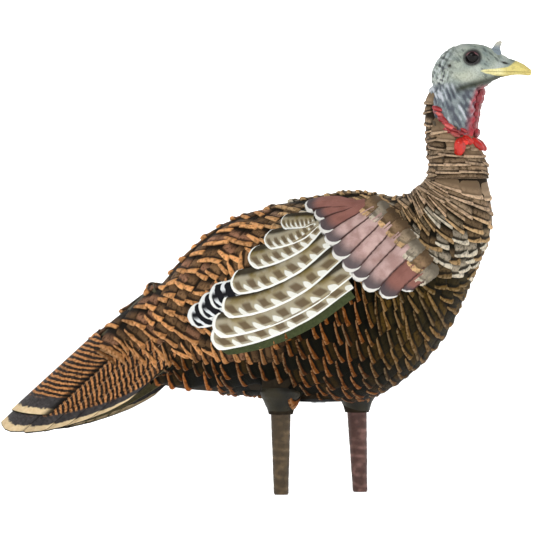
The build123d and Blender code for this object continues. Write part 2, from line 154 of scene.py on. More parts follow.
def tree_of(*nodes):
    """Ray-casting tree of some CAD nodes."""
    points, faces = [], []
    for name in nodes:
        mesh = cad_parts[name].data
        start = len(points)
        points += [v.co.copy() for v in mesh.vertices]
        faces += [[start + i for i in p.vertices] for p in mesh.polygons]
    return BVHTree.FromPolygons(points, faces)


class Skin:
    """A grid of points over part of the bird: rows run down the feathers' way, columns go round."""

    def __init__(self, stations, tree, rows, columns, over=None, reach=0.22):
        self.rows, self.columns = rows, columns
        self.points = np.zeros((rows, columns, 3))
        self.over = np.zeros((rows, columns), bool)
        for i, (back_x, back_z, low_x, low_z) in enumerate(through(np.array(stations) * MM, rows)):
            middle = Vector(((back_x + low_x) / 2, 0, (back_z + low_z) / 2))
            up = Vector((back_x - low_x, 0, back_z - low_z)).normalized()
            for j in range(columns):
                turn = 2 * math.pi * j / columns
                ray = up * math.cos(turn) + Vector((0, 1, 0)) * math.sin(turn)
                start = middle + ray * reach
                hit, _, _, distance = tree.ray_cast(start, -ray, reach)
                if over:
                    top, _, _, nearer = over.ray_cast(start, -ray, reach)
                    if top and (hit is None or nearer < distance):
                        hit = top
                        self.over[i, j] = True
                self.points[i, j] = hit if hit else (self.points[i - 1, j] if i else middle)
        for _ in range(2):
            inner = self.points.copy()
            inner[1:-1] = (self.points[:-2] + 2 * self.points[1:-1] + self.points[2:]) / 4
            self.points = (np.roll(inner, 1, 1) + 2 * inner + np.roll(inner, -1, 1)) / 4
        down = np.gradient(self.points, axis=0)
        across = (np.roll(self.points, -1, 1) - np.roll(self.points, 1, 1)) / 2
        normals = np.cross(across, down)
        self.normals = normals / (np.linalg.norm(normals, axis=2, keepdims=True) + 1e-12)
        self.down = np.linalg.norm(down, axis=2)
        self.across = np.linalg.norm(across, axis=2)

    def sample(self, table, row, column):
        """Bilinear value of a grid table at fractional rows and columns."""
        row = np.clip(row, 0, self.rows - 1.001)
        i, j = np.floor(row).astype(int), np.floor(column).astype(int)
        a, b = row - i, column - j
        j0, j1 = j % self.columns, (j + 1) % self.columns
        if table.ndim == 3:
            a, b = a[..., None], b[..., None]
        near = table[i, j0] * (1 - b) + table[i, j1] * b
        far = table[i + 1, j0] * (1 - b) + table[i + 1, j1] * b
        return near * (1 - a) + far * a

    def at(self, table, row, column):
        """The same at one place."""
        return self.sample(table, np.array([row]), np.array([column]))[0]

    def place(self, row, column, height):
        """Points at some heights over the skin."""
        normals = self.sample(self.normals, row, column)
        return self.sample(self.points, row, column) + normals * height[..., None]

    def ring(self, row):
        """Distance walked round a row at each column."""
        return np.concatenate([[0], np.cumsum(self.across[int(row)])])


class Plates:
    """Collects many small grids of points into one mesh, with a UV and colours at each point."""

    def __init__(self):
        self.points, self.faces, self.uvs, self.paints = [], [], [], {}
        self.count = 0

    def add(self, points, uvs, **paints):
        rows, columns = points.shape[:2]
        index = np.arange(rows * columns).reshape(rows, columns) + self.count
        quads = np.stack([index[:-1, :-1], index[:-1, 1:], index[1:, 1:], index[1:, :-1]], -1)
        self.points.append(points.reshape(-1, 3))
        self.uvs.append(uvs.reshape(-1, 2))
        self.faces.append(quads.reshape(-1, 4))
        for name, value in paints.items():
            full = np.broadcast_to(np.asarray(value, float), (rows, columns, 3)).reshape(-1, 3)
            self.paints.setdefault(name, []).append(full)
        self.count += rows * columns

    def make(self, name, material, body, slot, replaces=(), flip=False):
        points, faces, uvs = np.vstack(self.points), np.vstack(self.faces), np.vstack(self.uvs)
        if flip:
            faces = faces[:, ::-1]
        mesh = bpy.data.meshes.new(name)
        mesh.from_pydata(points.tolist(), [], faces.tolist())
        layer = mesh.uv_layers.new(name="UVMap")
        layer.data.foreach_set("uv", uvs[faces.reshape(-1)].astype(np.float32).reshape(-1))
        for paint, values in self.paints.items():
            colours = np.vstack(values)
            attribute = mesh.attributes.new(paint, "FLOAT_COLOR", "POINT")
            opaque = np.column_stack([colours, np.ones(len(colours))])
            attribute.data.foreach_set("color", opaque.reshape(-1))
        mesh.polygons.foreach_set("use_smooth", [True] * len(faces))
        mesh.materials.append(material)
        piece = bpy.data.objects.new(name, mesh)
        bpy.context.scene.collection.objects.link(piece)
        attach(piece, body)
        if replaces:
            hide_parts(*replaces)
        return piece


# ---- materials --------------------------------------------------------------
MATT = 0.05  # specular level of matt paint


class Shader:
    """A material's node tree, written as short calls."""

    def __init__(self, name, roughness=0.6, specular=0.2, **settings):
        self.material = bpy.data.materials.new(name)
        self.material.use_nodes = True
        self.nodes, self.links = self.material.node_tree.nodes, self.material.node_tree.links
        self.surface = self.nodes["Principled BSDF"]
        self.surface.inputs["Roughness"].default_value = roughness
        self.surface.inputs["Specular IOR Level"].default_value = specular
        for socket, value in settings.items():
            self.surface.inputs[socket.replace("_", " ")].default_value = value

    def put(self, socket, value):
        if isinstance(value, bpy.types.NodeSocket):
            self.links.new(value, socket)
        elif isinstance(value, tuple):
            socket.default_value = (*linear(*value), 1)
        else:
            socket.default_value = value

    def math(self, operation, a, b=0.0, c=0.0):
        node = self.nodes.new("ShaderNodeMath")
        node.operation = operation
        for socket, value in zip(node.inputs, (a, b, c)):
            self.put(socket, value)
        return node.outputs[0]

    def times(self, a, b):
        return self.math("MULTIPLY", a, b)

    def plus(self, a, b):
        return self.math("ADD", a, b)

    def scaled(self, value, factor, shift):
        return self.math("MULTIPLY_ADD", value, factor, shift)

    def larger(self, a, b):
        return self.math("MAXIMUM", a, b)

    def off_shaft(self, across):
        """Distance from a feather's shaft, 0 to 1."""
        return self.math("ABSOLUTE", self.scaled(across, 2.0, -1.0))

    def mix(self, amount, a, b):
        node = self.nodes.new("ShaderNodeMix")
        node.data_type = "RGBA"
        self.put(node.inputs["Factor"], amount)
        self.put(node.inputs[6], a)
        self.put(node.inputs[7], b)
        return node.outputs[2]

    def step(self, value, low, high):
        """Smooth ramp from 0 at low to 1 at high."""
        node = self.nodes.new("ShaderNodeMapRange")
        node.interpolation_type = "SMOOTHSTEP"
        self.put(node.inputs["Value"], value)
        turned = low > high
        node.inputs["From Min"].default_value = min(low, high)
        node.inputs["From Max"].default_value = max(low, high)
        node.inputs["To Min"].default_value = 1.0 if turned else 0.0
        node.inputs["To Max"].default_value = 0.0 if turned else 1.0
        return node.outputs[0]

    def paint(self, name):
        node = self.nodes.new("ShaderNodeAttribute")
        node.attribute_name = name
        return node.outputs["Color"]

    def noise(self, scale, detail=4.0, seed=0.0):
        coordinates = self.nodes.new("ShaderNodeTexCoord").outputs["Object"]
        mapping = self.nodes.new("ShaderNodeMapping")
        mapping.inputs["Location"].default_value = (seed, seed, seed)
        self.links.new(coordinates, mapping.inputs["Vector"])
        node = self.nodes.new("ShaderNodeTexNoise")
        node.inputs["Scale"].default_value = scale
        node.inputs["Detail"].default_value = detail
        self.links.new(mapping.outputs[0], node.inputs["Vector"])
        return node.outputs["Fac"]

    def uv(self):
        node = self.nodes.new("ShaderNodeUVMap")
        node.uv_map = "UVMap"
        split = self.nodes.new("ShaderNodeSeparateXYZ")
        self.links.new(node.outputs[0], split.inputs[0])
        return split.outputs[0], split.outputs[1]

    def bump(self, height, distance, strength=1.0):
        node = self.nodes.new("ShaderNodeBump")
        node.inputs["Strength"].default_value = strength
        node.inputs["Distance"].default_value = distance
        self.links.new(height, node.inputs["Height"])
        self.links.new(node.outputs[0], self.surface.inputs["Normal"])

    def colour(self, value):
        self.put(self.surface.inputs["Base Color"], value)
        return self.material

    def barbs(self, across, along, fine=34.0, sweep=1.3):
        """Fine oblique lines either side of the shaft, 0 to 1."""
        side = self.math("ABSOLUTE", self.math("SUBTRACT", across, 0.5))
        lean = self.math("SUBTRACT", self.times(along, sweep), self.times(side, 2.0))
        wobble = self.times(self.noise(70.0), 0.35)
        wave = self.math("SINE", self.times(self.plus(lean, wobble), fine * math.pi))
        return self.scaled(wave, 0.5, 0.5)


def feather_material():
    """Body feathers: painted shade at the root and sides where the neighbours overlap, barbed vane, a dark
    line of painted shadow in the dip before the rim, a worn raised rim at the tip with a painted highlight
    along its outer part, and painted shade on the wall under the tip.
    """
    s = Shader("feather_paint", roughness=0.6, specular=MATT)
    across, along = s.uv()
    vane, band, rim = s.paint("vane"), s.paint("band"), s.paint("rim")
    barbs = s.barbs(across, along)
    side = s.off_shaft(across)
    worn = s.noise(260.0, 5.0)
    patches = s.noise(60.0, 3.0, seed=3.0)
    # Painted shade: the root, which the row above overlaps, and then the sides, which the neighbours
    # overlap, take the band colour.
    shade = s.mix(s.step(along, 0.40, 0.66), band, vane)
    shade = s.mix(s.times(s.step(side, 0.66, 0.95), 0.9), shade, band)
    streaked = s.mix(s.step(barbs, 0.2, 0.75), s.mix(0.25, band, shade), shade)
    streaked = s.mix(s.step(patches, 0.45, 0.65), streaked, shade)
    streaked = s.mix(s.times(s.step(worn, 0.50, 0.36), 0.6), streaked, band)
    # Painted shadow: a dark line in the dip before the raised rim.
    lined = s.mix(s.times(s.step(along, 0.72, 0.80), 0.9), streaked, band)
    start = s.scaled(across, -0.13, 0.925)
    ragged = s.scaled(s.noise(90.0, 3.0), 0.12, -0.06)
    tip = s.step(s.math("SUBTRACT", s.plus(along, ragged), start), -0.02, 0.03)
    # Painted highlight: the rim is lighter along its outer part.
    light = s.mix(s.step(along, 0.90, 0.96), rim, s.mix(0.13, rim, (240, 210, 164)))
    faded = s.mix(s.step(worn, 0.56, 0.36), light, s.mix(0.5, rim, band))
    colour = s.mix(s.times(tip, s.step(side, 0.97, 0.84)), lined, faded)
    # Painted shade: the wall under the tip takes the band colour.
    under = s.step(along, 1.0, 1.03)
    height = s.plus(s.times(barbs, 0.6), s.times(worn, 0.6))
    s.bump(height, 0.0006, 0.8)
    return s.colour(s.mix(under, colour, band))


def groove_shade_material():
    """Near-black painted shade in the grooves between the feathers, where the body shell shows."""
    s = Shader("groove_shade_paint", roughness=0.75, specular=MATT)
    grain = s.noise(180.0, 5.0)
    s.bump(grain, 0.0006, 0.6)
    return s.colour(s.mix(grain, (18, 15, 11), (46, 38, 27)))


def secondary_material():
    """Flight feathers: tan centre, brown blotches with white notches on the lower edge, white outline,
    painted shadow along the upper edge where the feather above overlaps, and near-black painted shade on
    the walls down to the body.
    """
    s = Shader("secondary_paint", roughness=0.6, specular=MATT)
    across, along = s.uv()
    barbs = s.barbs(across, along, fine=60.0, sweep=2.6)
    cloud = s.noise(55.0, 3.0)
    tan = s.mix(s.step(across, 0.28, 0.60), (122, 106, 62), (172, 160, 128))
    tan = s.mix(s.step(cloud, 0.36, 0.64), tan, (170, 162, 140))
    wander = s.times(s.noise(38.0, 2.0, seed=2.0), 3.0)
    beat = s.math("SINE", s.plus(s.scaled(along, 46.0, wander), s.times(across, 3.0)))
    reach = s.times(s.step(across, 0.40, 0.56), s.step(across, 0.86, 0.78))
    blot = s.times(s.step(beat, -0.5, 0.5), reach)
    marked = s.mix(s.times(blot, 0.88), tan, (96, 78, 58))
    narrow = s.scaled(s.step(across, 0.56, 0.86), 0.75, -1.05)
    notch = s.times(s.step(s.math("SUBTRACT", beat, narrow), 0.12, -0.12), s.step(across, 0.56, 0.66))
    marked = s.mix(notch, marked, (236, 236, 228))
    # Painted shadow along the upper edge, under the feather above.
    marked = s.mix(s.times(s.step(across, 0.36, 0.2), 0.92), marked, (30, 26, 20))
    marked = s.mix(s.times(barbs, 0.22), marked, (92, 80, 58))
    edge = s.larger(s.step(across, 0.895, 0.92), s.step(along, 0.972, 0.98))
    # Painted shade: the walls down to the body are near-black.
    low = s.larger(s.step(across, 0.985, 1.0), s.step(along, 1.0, 1.02))
    outlined = s.mix(edge, marked, (240, 240, 234))
    s.bump(s.plus(barbs, s.noise(300.0)), 0.0005, 0.6)
    return s.colour(s.mix(low, outlined, (26, 26, 18)))


def primary_material():
    """Primaries: black with broken white bars and a white outline; the walls down to the body are
    near-black painted shade.
    """
    s = Shader("primary_paint", roughness=0.55, specular=MATT)
    across, along = s.uv()
    wobble = s.times(s.noise(90.0, 3.0), 2.2)
    beat = s.math("SINE", s.plus(s.times(along, 38.0), s.scaled(across, 6.0, wobble)))
    side = s.off_shaft(across)
    bars = s.times(s.step(beat, 0.35, 0.6), s.step(side, 0.05, 0.45))
    base = s.mix(bars, (24, 24, 28), (214, 218, 220))
    edge = s.larger(s.step(side, 0.82, 0.89), s.step(along, 0.945, 0.965))
    # Painted shade: the walls down to the body are near-black.
    low = s.larger(s.step(across, 0.985, 1.0), s.step(along, 1.0, 1.02))
    s.bump(s.barbs(across, along, fine=50.0, sweep=2.4), 0.0004, 0.6)
    return s.colour(s.mix(low, s.mix(edge, base, (222, 224, 222)), (22, 22, 20)))


def tail_material(name, oblique):
    """Tail feathers: curved brown bars, a black band and a cream tip. V is decimetres from the tip."""
    s = Shader(name, roughness=0.58, specular=MATT)
    across, from_tip = s.uv()
    side = s.off_shaft(across)
    wobble = s.times(s.noise(60.0, 4.0), 0.06)
    if oblique:
        along = from_tip
    else:
        place = s.nodes.new("ShaderNodeSeparateXYZ")
        s.links.new(s.nodes.new("ShaderNodeTexCoord").outputs["Object"], place.inputs[0])
        down = s.times(place.outputs[2], -10 * ALONG_RIDGE[2])
        along = s.plus(s.times(place.outputs[0], -10 * ALONG_RIDGE[0]), down)
        along = s.plus(along, s.times(across, 0.05))
    bowed = s.plus(s.plus(along, wobble), s.times(s.times(side, side), 0.04))
    bars = s.math("SINE", s.times(bowed, 2 * math.pi / 0.076))
    speck = s.noise(420.0, 3.0)
    worn = s.scaled(speck, 1.4, -0.7)
    brown = s.mix(s.step(speck, 0.35, 0.7), (150, 98, 58), (208, 148, 94))
    dark = s.mix(s.step(speck, 0.4, 0.7), (28, 23, 19), (66, 52, 42))
    barred = s.mix(s.step(s.plus(bars, worn), -0.1, 0.5), dark, brown)
    barred = s.mix(s.times(s.step(s.noise(34.0, 3.0, seed=9.0), 0.5, 0.7), 0.45), barred, dark)
    frayed = s.plus(from_tip, s.scaled(s.noise(150.0, 4.0), 0.10, -0.05))
    black = s.mix(s.noise(220.0, 4.0), (20, 19, 20), (84, 80, 80))
    with_band = s.mix(s.step(frayed, 0.36, 0.28), barred, black)
    cream = s.mix(s.noise(200.0, 4.0, seed=5.0), (190, 160, 118), (232, 212, 172))
    with_tip = s.mix(s.step(frayed, 0.13, 0.10), with_band, cream)
    shaft = s.step(side, 0.035, 0.015)
    with_shaft = s.mix(s.times(shaft, s.step(from_tip, 0.4, 0.5)), with_tip, (150, 122, 96))
    edged = s.mix(s.times(s.step(side, 0.88, 0.985), 0.95), with_shaft, (16, 13, 10))
    edged = s.mix(s.step(from_tip, 0.012, 0.004), edged, (30, 27, 18))
    barbs = s.barbs(across, from_tip, fine=46.0, sweep=-1.2)
    s.bump(s.plus(s.times(barbs, 0.7), speck), 0.0005, 0.8)
    return s.colour(edged)


def painted_material(name, roughness, grain=420.0, depth=0.0007, **settings):
    """Airbrushed plastic whose colour is painted at each point, with a fine grain and painted shade in the
    grain's dips.
    """
    s = Shader(name, roughness=roughness, **settings)
    fine = s.noise(grain, 4.0)
    # Painted shade: darker where the grain's bump is low.
    dip_shade = s.mix(0.6, s.paint("paint"), (30, 32, 30))
    colour = s.mix(s.times(s.step(fine, 0.55, 0.3), 0.45), s.paint("paint"), dip_shade)
    s.bump(fine, depth, 0.7)
    return s.colour(colour)


def plain_material(name, dark, light, roughness, metallic=0.0, grain=300.0, depth=0.0003, **settings):
    """Metal or self-coloured plastic with a fine uneven surface."""
    s = Shader(name, roughness=roughness, Metallic=metallic, **settings)
    fine = s.noise(grain, 5.0)
    s.bump(fine, depth, 0.5)
    return s.colour(s.mix(fine, dark, light))


FEATHER, GROOVE_SHADE = feather_material(), groove_shade_material()
SECONDARY, PRIMARY = secondary_material(), primary_material()
TAIL, TAIL_SIDE = tail_material("tail_paint", True), tail_material("tail_side_paint", False)
HEAD_SKIN = painted_material("head_paint", 0.5, grain=520.0, depth=0.0009)
LOBE = painted_material("wattle_paint", 0.32, grain=300.0, depth=0.0006, Coat_Weight=0.4)
LEG = painted_material("leg_paint", 0.5, grain=350.0, depth=0.0006)


# ---- feathers over a skin ---------------------------------------------------
ALONG = np.array([0, 0.16, 0.34, 0.5, 0.62, 0.7, 0.76, 0.81, 0.86, 0.91, 0.95, 0.98, 1.0, 1.0])
ACROSS = np.array([-1, -0.95, -0.84, -0.6, -0.3, 0, 0.3, 0.6, 0.84, 0.95, 1])


def feather(
    plates, skin, row, column, length, width, lean, rise, rim, square, tilt, vane, band, rim_colour,
    slant=0.0, side=1,
):
    """One raised plate. lean turns its tip round the body, tilt lifts a corner, slant skews the tip."""
    u, v = np.meshgrid(ACROSS, ALONG)
    reach = 1 - (1 - square) * np.abs(u) ** 5 + slant * u
    spread = 0.8 + 0.2 * v
    run = v * reach * length
    aside = u * spread * width / 2
    down = run * math.cos(lean) - aside * math.sin(lean)
    round_ = run * math.sin(lean) + aside * math.cos(lean)
    rows = row + down / max(float(skin.at(skin.down, row, column)), 0.2 * MM)
    columns = column + round_ / max(float(skin.at(skin.across, row, column)), 0.2 * MM)
    crown = 1 - np.abs(u) ** 7
    taper = 1 + 0.45 * side * u
    ridge = hump(v, 0.91, 0.06) * rim * (1 - np.abs(u) ** 6) * taper
    dip = -0.5 * rim * hump(v, 0.76, 0.06)
    height = (rise * (0.1 + 0.9 * v**1.3) + tilt * u * v**2) * crown + ridge + dip * crown
    height = height - 1.2 * MM * (1 - crown)
    height[0] = -0.8 * MM
    height[-1] = -1.5 * MM
    along = v.copy()
    along[-1] = 1.05
    uvs = np.stack([(side * u + 1) / 2, along], -1)
    plates.add(skin.place(rows, columns, height), uvs, vane=vane, band=band, rim=rim_colour)


# Screen colours of each zone's feathers: vane, band, rim and the odd lighter vane. The band is painted
# shade in the grooves and under the overlaps, and also darkens the barb streaks and worn spots. The breast,
# low breast and flank tones are partly the decoy's dark paint and partly painted shade under the body.
PALETTE = {
    "neck": ((160, 134, 106), (38, 30, 21), (192, 164, 136), (180, 156, 128)),
    "breast": ((54, 44, 19), (13, 11, 4), (104, 80, 40), (106, 80, 30)),
    "low_breast": ((27, 22, 5), (7, 7, 2), (62, 46, 14), (66, 48, 12)),
    "back": ((140, 114, 86), (26, 22, 16), (202, 166, 120), (184, 166, 140)),
    "rump": ((128, 96, 66), (30, 24, 17), (220, 156, 98), (188, 134, 104)),
    "flank": ((14, 12, 2), (5, 5, 2), (108, 60, 18), (60, 42, 10)),
}
VANES, BANDS, RIMS, ACCENTS = ([linear(*tone) for tone in tones] for tones in zip(*PALETTE.values()))


def mixed(weights, colours):
    total = sum(weights) + 1e-9
    return sum(w * c for w, c in zip(weights, colours)) / total


def body_colours(x, z):
    """Vane, band (painted shade) and rim colours at a place on the body, in millimetres."""
    neck = ramp(232, 262, z) * ramp(112, 132, x)
    breast = ramp(85, 130, x) * (1 - ramp(225, 255, z)) * ramp(40, 110, z)
    # Painted shade, with the decoy's own dark paint: the low breast and the flank darken the feathers
    # towards the belly.
    low_breast = ramp(85, 120, x) * (1 - ramp(50, 110, z))
    back = ramp(-60, 10, x) * ramp(170, 205, z) * (1 - neck)
    rump = (1 - ramp(-60, 0, x)) * ramp(70, 105, z + (x + 220) * 0.1)
    flank = 0.35 * (1 - ramp(120, 170, z))
    weights = [neck, breast, low_breast, back, rump, flank]
    jitter = rng.uniform(-1, 1, 4)
    vane = mixed(weights, VANES) * (1 + 0.25 * jitter[0])
    if jitter[2] > 0.3:
        vane = 0.35 * vane + 0.65 * mixed(weights, ACCENTS)
    rim = mixed(weights, RIMS) * (1 + 0.28 * jitter[1])
    if (breast + low_breast + flank) / (sum(weights) + 1e-9) > 0.5 and rng.random() < 0.38:
        rim = 0.45 * rim
    pale = ramp(40, 80, x) * ramp(160, 185, z) * (1 - ramp(225, 240, z))
    if back + pale > 0.5 and jitter[3] > 0.75 - 0.9 * pale:
        rim = linear(206, 196, 176)
        vane = linear(168, 156, 136)
    return np.clip(vane, 0, 1), mixed(weights, BANDS), np.clip(rim, 0, 1)


body_tree = tree_of("body_shell_right", "body_shell_left")
tail_tree = tree_of("tail_fan")
body_skin = Skin(BODY_STATIONS, body_tree, 170, 160, over=tail_tree)


def lean_at(x, z, side):
    """How far a body feather's tip turns down the side, in radians."""
    back = ramp(175, 215, z) * (1 - ramp(90, 140, x))
    rump = (1 - ramp(-95, -45, x)) * ramp(62, 92, z)
    shoulder = ramp(40, 90, x) * ramp(130, 180, z) * (1 - ramp(215, 245, z))
    flank = 0.22 * (1 - ramp(120, 160, z)) * (1 - ramp(80, 120, x))
    return side * (0.05 + max(0.95 * float(back), 0.85 * float(rump), 0.55 * float(shoulder), float(flank)))


GRID = body_skin.points
CELLS = [(i, j) for i in range(body_skin.rows - 1) for j in range(body_skin.columns)]


def grid_corner(i, j):
    return i * body_skin.columns + j % body_skin.columns


AROUND = ((0, 0), (0, 1), (1, 1), (1, 0))
skin_tree = BVHTree.FromPolygons(
    [Vector(p) for p in GRID.reshape(-1, 3)],
    [[grid_corner(i + down, j + across) for down, across in AROUND] for i, j in CELLS],
)


def beside(x, z, side):
    """Row and column of the body skin where a line from the side meets it."""
    hit, _, face, _ = skin_tree.ray_cast(Vector((x, side * 0.3, z)), Vector((0, -side, 0)), 0.3)
    if hit is None:
        hit, _, face, _ = skin_tree.find_nearest(Vector((x, side * 0.03, z)))
    i, j = CELLS[face]
    corner = GRID[i, j]
    down, across = GRID[i + 1, j] - corner, GRID[i, (j + 1) % body_skin.columns] - corner
    offset = np.array(hit) - corner
    return i + offset @ down / (down @ down + 1e-12), j + offset @ across / (across @ across + 1e-12)


# The part of a wing that hides the body, as x and z in millimetres.
WING_COVER = [
    (-95, 92), (-70, 88), (-20, 104), (38, 142), (78, 147), (86, 162),
    (60, 193), (36, 213), (0, 226), (-30, 205), (-62, 168), (-84, 140),
]
# How far body feathers stay from the stake and from each leg, whose ring lies a little ahead of it.
FLANGE_CLEAR, LEG_CLEAR, LEG_AHEAD = 42, 35, 8


def inside(x, z, outline):
    """Whether a point lies within a closed outline."""
    odd = False
    for (x0, z0), (x1, z1) in zip(outline, outline[1:] + outline[:1]):
        if (z0 > z) != (z1 > z) and x < x0 + (z - z0) / (z1 - z0) * (x1 - x0):
            odd = not odd
    return odd


def hidden(x, y, z, row, column):
    """Whether the tail, the stake's flange, a wing or a leg takes a feather's place on the body."""
    under_tail = body_skin.over[int(row), int(column) % body_skin.columns] and z < 72
    tail_root = x < -100 and z < 44
    by_flange = math.hypot(x, y) < FLANGE_CLEAR and z < 30
    under_wing = abs(y) > 30 and inside(x, z, WING_COVER)
    by_leg = z < 34 and min(math.hypot(x - lx - LEG_AHEAD, y - ly) for lx, ly in LEG_SPOTS) < LEG_CLEAR
    return under_tail or tail_root or by_flange or under_wing or by_leg


def body_feathers():
    """Rows of feathers from the neck joint to the tail, left out where the wings and tail hide them."""
    sides = {"right": Plates(), "left": Plates()}
    row, odd = 2.0, 0
    middle_step = body_skin.down[:, body_skin.columns // 4]
    while row < body_skin.rows - 4:
        here = body_skin.points[int(row), body_skin.columns // 4] / MM
        spacing = 8.75 + 2.2 * float(ramp(235, 190, here[2])) + 5.0 * float(ramp(95, 0, here[0]))
        walked = body_skin.ring(row)
        place = rng.uniform(0, 8) * MM + (odd % 2) * 14 * MM
        while place < walked[-1]:
            column = float(np.interp(place, walked, np.arange(len(walked))))
            x, y, z = body_skin.at(body_skin.points, row, column) / MM
            gap = float(body_skin.at(body_skin.down, row, column)) / middle_step[int(row)] * spacing * MM
            skip = 4 if gap < 2.8 * MM else 2 if gap < 5.2 * MM else 1
            neck = float(ramp(215, 250, z) * ramp(105, 130, x))
            small = float(ramp(-60, 30, x)) * float(ramp(150, 215, z)) * (1 - neck)
            flank = float((1 - ramp(60, 120, x)) * (1 - ramp(110, 160, z)))
            width = (31 + 7 * neck - 7 * small + 3 * flank) * MM
            place += width * (0.78 if flank < 0.5 else 0.7)
            if odd % skip or gap < 0.8 * MM or hidden(x, y, z, row, column):
                continue
            side = 1 if y > 0 else -1
            length = gap * skip * rng.uniform(1.7, 2.1) * (1 + 0.3 * small)
            rise = (3.0 + 1.6 * float(ramp(100, -60, x))) * MM * rng.uniform(0.8, 1.2)
            if z < 70:
                rise *= 0.8
            vane, band, rim = body_colours(x, z)
            # Nothing overlaps the first row's roots, so their painted root shade is lightened.
            if odd == 0:
                band = 0.6 * vane
            lean = lean_at(x, z, side) * float(ramp(2, 26, abs(y))) + rng.uniform(-0.13, 0.13)
            feather(
                sides["left" if side > 0 else "right"], body_skin, row - 0.35, column, length,
                width * rng.uniform(0.95, 1.12), lean, rise,
                rise * 0.26, 0.93, side * rng.uniform(0.2, 1.6) * MM, vane, band, rim,
                slant=side * rng.uniform(-0.02, 0.10) * (1 - neck), side=side,
            )
        row += spacing * MM / middle_step[int(row)]
        odd += 1
    return sides


def under_tail_feathers(plates, side):
    """Large feathers beneath the tail, whose lower corners stand out in a zigzag."""
    for x, z, length, width in UNDER_TAIL:
        row, column = beside(x * MM, z * MM, side)
        vane, band, _ = body_colours(x, 30)
        rim = linear(152, 88, 38) * rng.uniform(0.85, 1.15)
        feather(
            plates, body_skin, row, column, length * MM, width * MM, side * 0.2, 4.2 * MM, 2.2 * MM,
            0.95, side * 5.0 * MM, vane, band, rim, slant=side * 0.12, side=side,
        )


# Root x and z, length and width of each.
UNDER_TAIL = [(-172, 36, 32, 44), (-152, 34, 32, 46), (-130, 33, 34, 50), (-102, 34, 34, 52)]

for side_name, plates in body_feathers().items():
    under_tail_feathers(plates, 1 if side_name == "left" else -1)
    plates.make(f"body_feathers_{side_name}", FEATHER, "torso", "body_plastic")

# ---- wings: quills laid out in side view, in millimetres --------------------
WING_LIFT = 8.0 * MM
# Each quill: base, bend and tip as x, z; then its width.
SECONDARIES = [
    ((12, 222), (-8, 219), (-29, 218), 20),
    ((14, 219), (-12, 199), (-47, 197), 25),
    ((20, 217), (-14, 181), (-65, 176), 28),
    ((30, 198), (-29, 151), (-85, 148), 30),
    ((46, 184), (-25, 123), (-96, 122), 30),
    ((62, 168), (-20, 105), (-109, 99), 30),
    ((60, 151), (-26, 90), (-112, 84), 27),
]
PRIMARIES = [
    ((-26, 152), (-71, 137), (-113, 131), 32),
    ((-31, 142), (-76, 125), (-128, 120), 32),
    ((-36, 135), (-84, 113), (-143, 109), 30),
]
COVERTS = [
    ((51, 239), (26, 243), (-2, 235), 15),
    ((57, 239), (36, 237), (13, 224), 17),
    ((69, 238), (48, 231), (22, 208), 20),
    ((80, 234), (58, 223), (31, 194), 21),
    ((92, 227), (70, 211), (42, 177), 23),
    ((104, 217), (82, 199), (55, 163), 23),
    ((116, 206), (93, 188), (66, 153), 21),
    ((128, 191), (104, 175), (79, 141), 22),
    ((140, 175), (119, 163), (98, 133), 22),
    ((143, 162), (132, 157), (119, 142), 17),
]
# Boundary of the wing against the shoulder, from the back down.
SCAPULARS = [(75, 236), (87, 230), (99, 221), (110, 211), (120, 200), (130, 188), (138, 175), (142, 161)]
UNDERSIDE = ((62, 140), (-22, 80), (-104, 76), 26)

QUILL_ALONG = np.concatenate([np.linspace(0, 0.9, 22), [0.93, 0.955, 0.975, 0.99, 1.0, 1.0]])
QUILL_ACROSS = np.array([-1, -0.9, -0.7, -0.45, -0.2, 0, 0.04, 0.2, 0.45, 0.7, 0.84, 0.93, 0.98, 1.0])


def quill(plates, side, base, bend, tip, width, lift, edge=2.4 * MM, blunt=1.0, sink=0.0, **paints):
    """A long feather raised off the body, with walls down to it. Its first part can be sunk."""
    base, bend, tip = (np.array(p) * MM for p in (base, bend, tip))
    width = width * MM
    u, v = np.meshgrid(QUILL_ACROSS, QUILL_ALONG)
    length = np.linalg.norm(tip - base)
    reach = 1 - blunt * (width / 2 / length) * (1 - np.sqrt(np.clip(1 - u**2, 0, 1)))
    t = (v * reach)[..., None]
    centre = (1 - t) ** 2 * base + 2 * t * (1 - t) * bend + t**2 * tip
    heading = 2 * (1 - t) * (bend - base) + 2 * t * (tip - bend)
    heading /= np.linalg.norm(heading, axis=2, keepdims=True)
    lower = np.stack([heading[..., 1], -heading[..., 0]], -1)
    lower *= np.where(lower[..., 1:] > 0, -1, 1)
    spread = (0.7 + 0.3 * ramp(0, 0.35, v))[..., None]
    flat = centre + lower * u[..., None] * spread * width / 2
    height = lift + edge * (0.5 + 0.5 * u) * (0.45 + 0.55 * v) + 0.9 * MM * (1 - u**2)
    height += 0.5 * MM * hump(u, 0, 0.05) + 0.7 * MM * hump(u, 0.93, 0.06)
    if sink:
        height = -1.0 * MM + (height + 1.0 * MM) * ramp(0.0, sink, v)
    height[:, 0] -= 1.0 * MM
    height[:, -1] = height[-1] = -1.0 * MM
    places = np.array([beside(x, z, side) for x, z in flat.reshape(-1, 2)]).reshape(*u.shape, 2)
    points = body_skin.place(places[..., 0], places[..., 1], height)
    across, along = (u + 1) / 2, v.copy()
    across[:, -1] = along[-1] = 1.05
    plates.add(points, np.stack([across, along], -1), **paints)


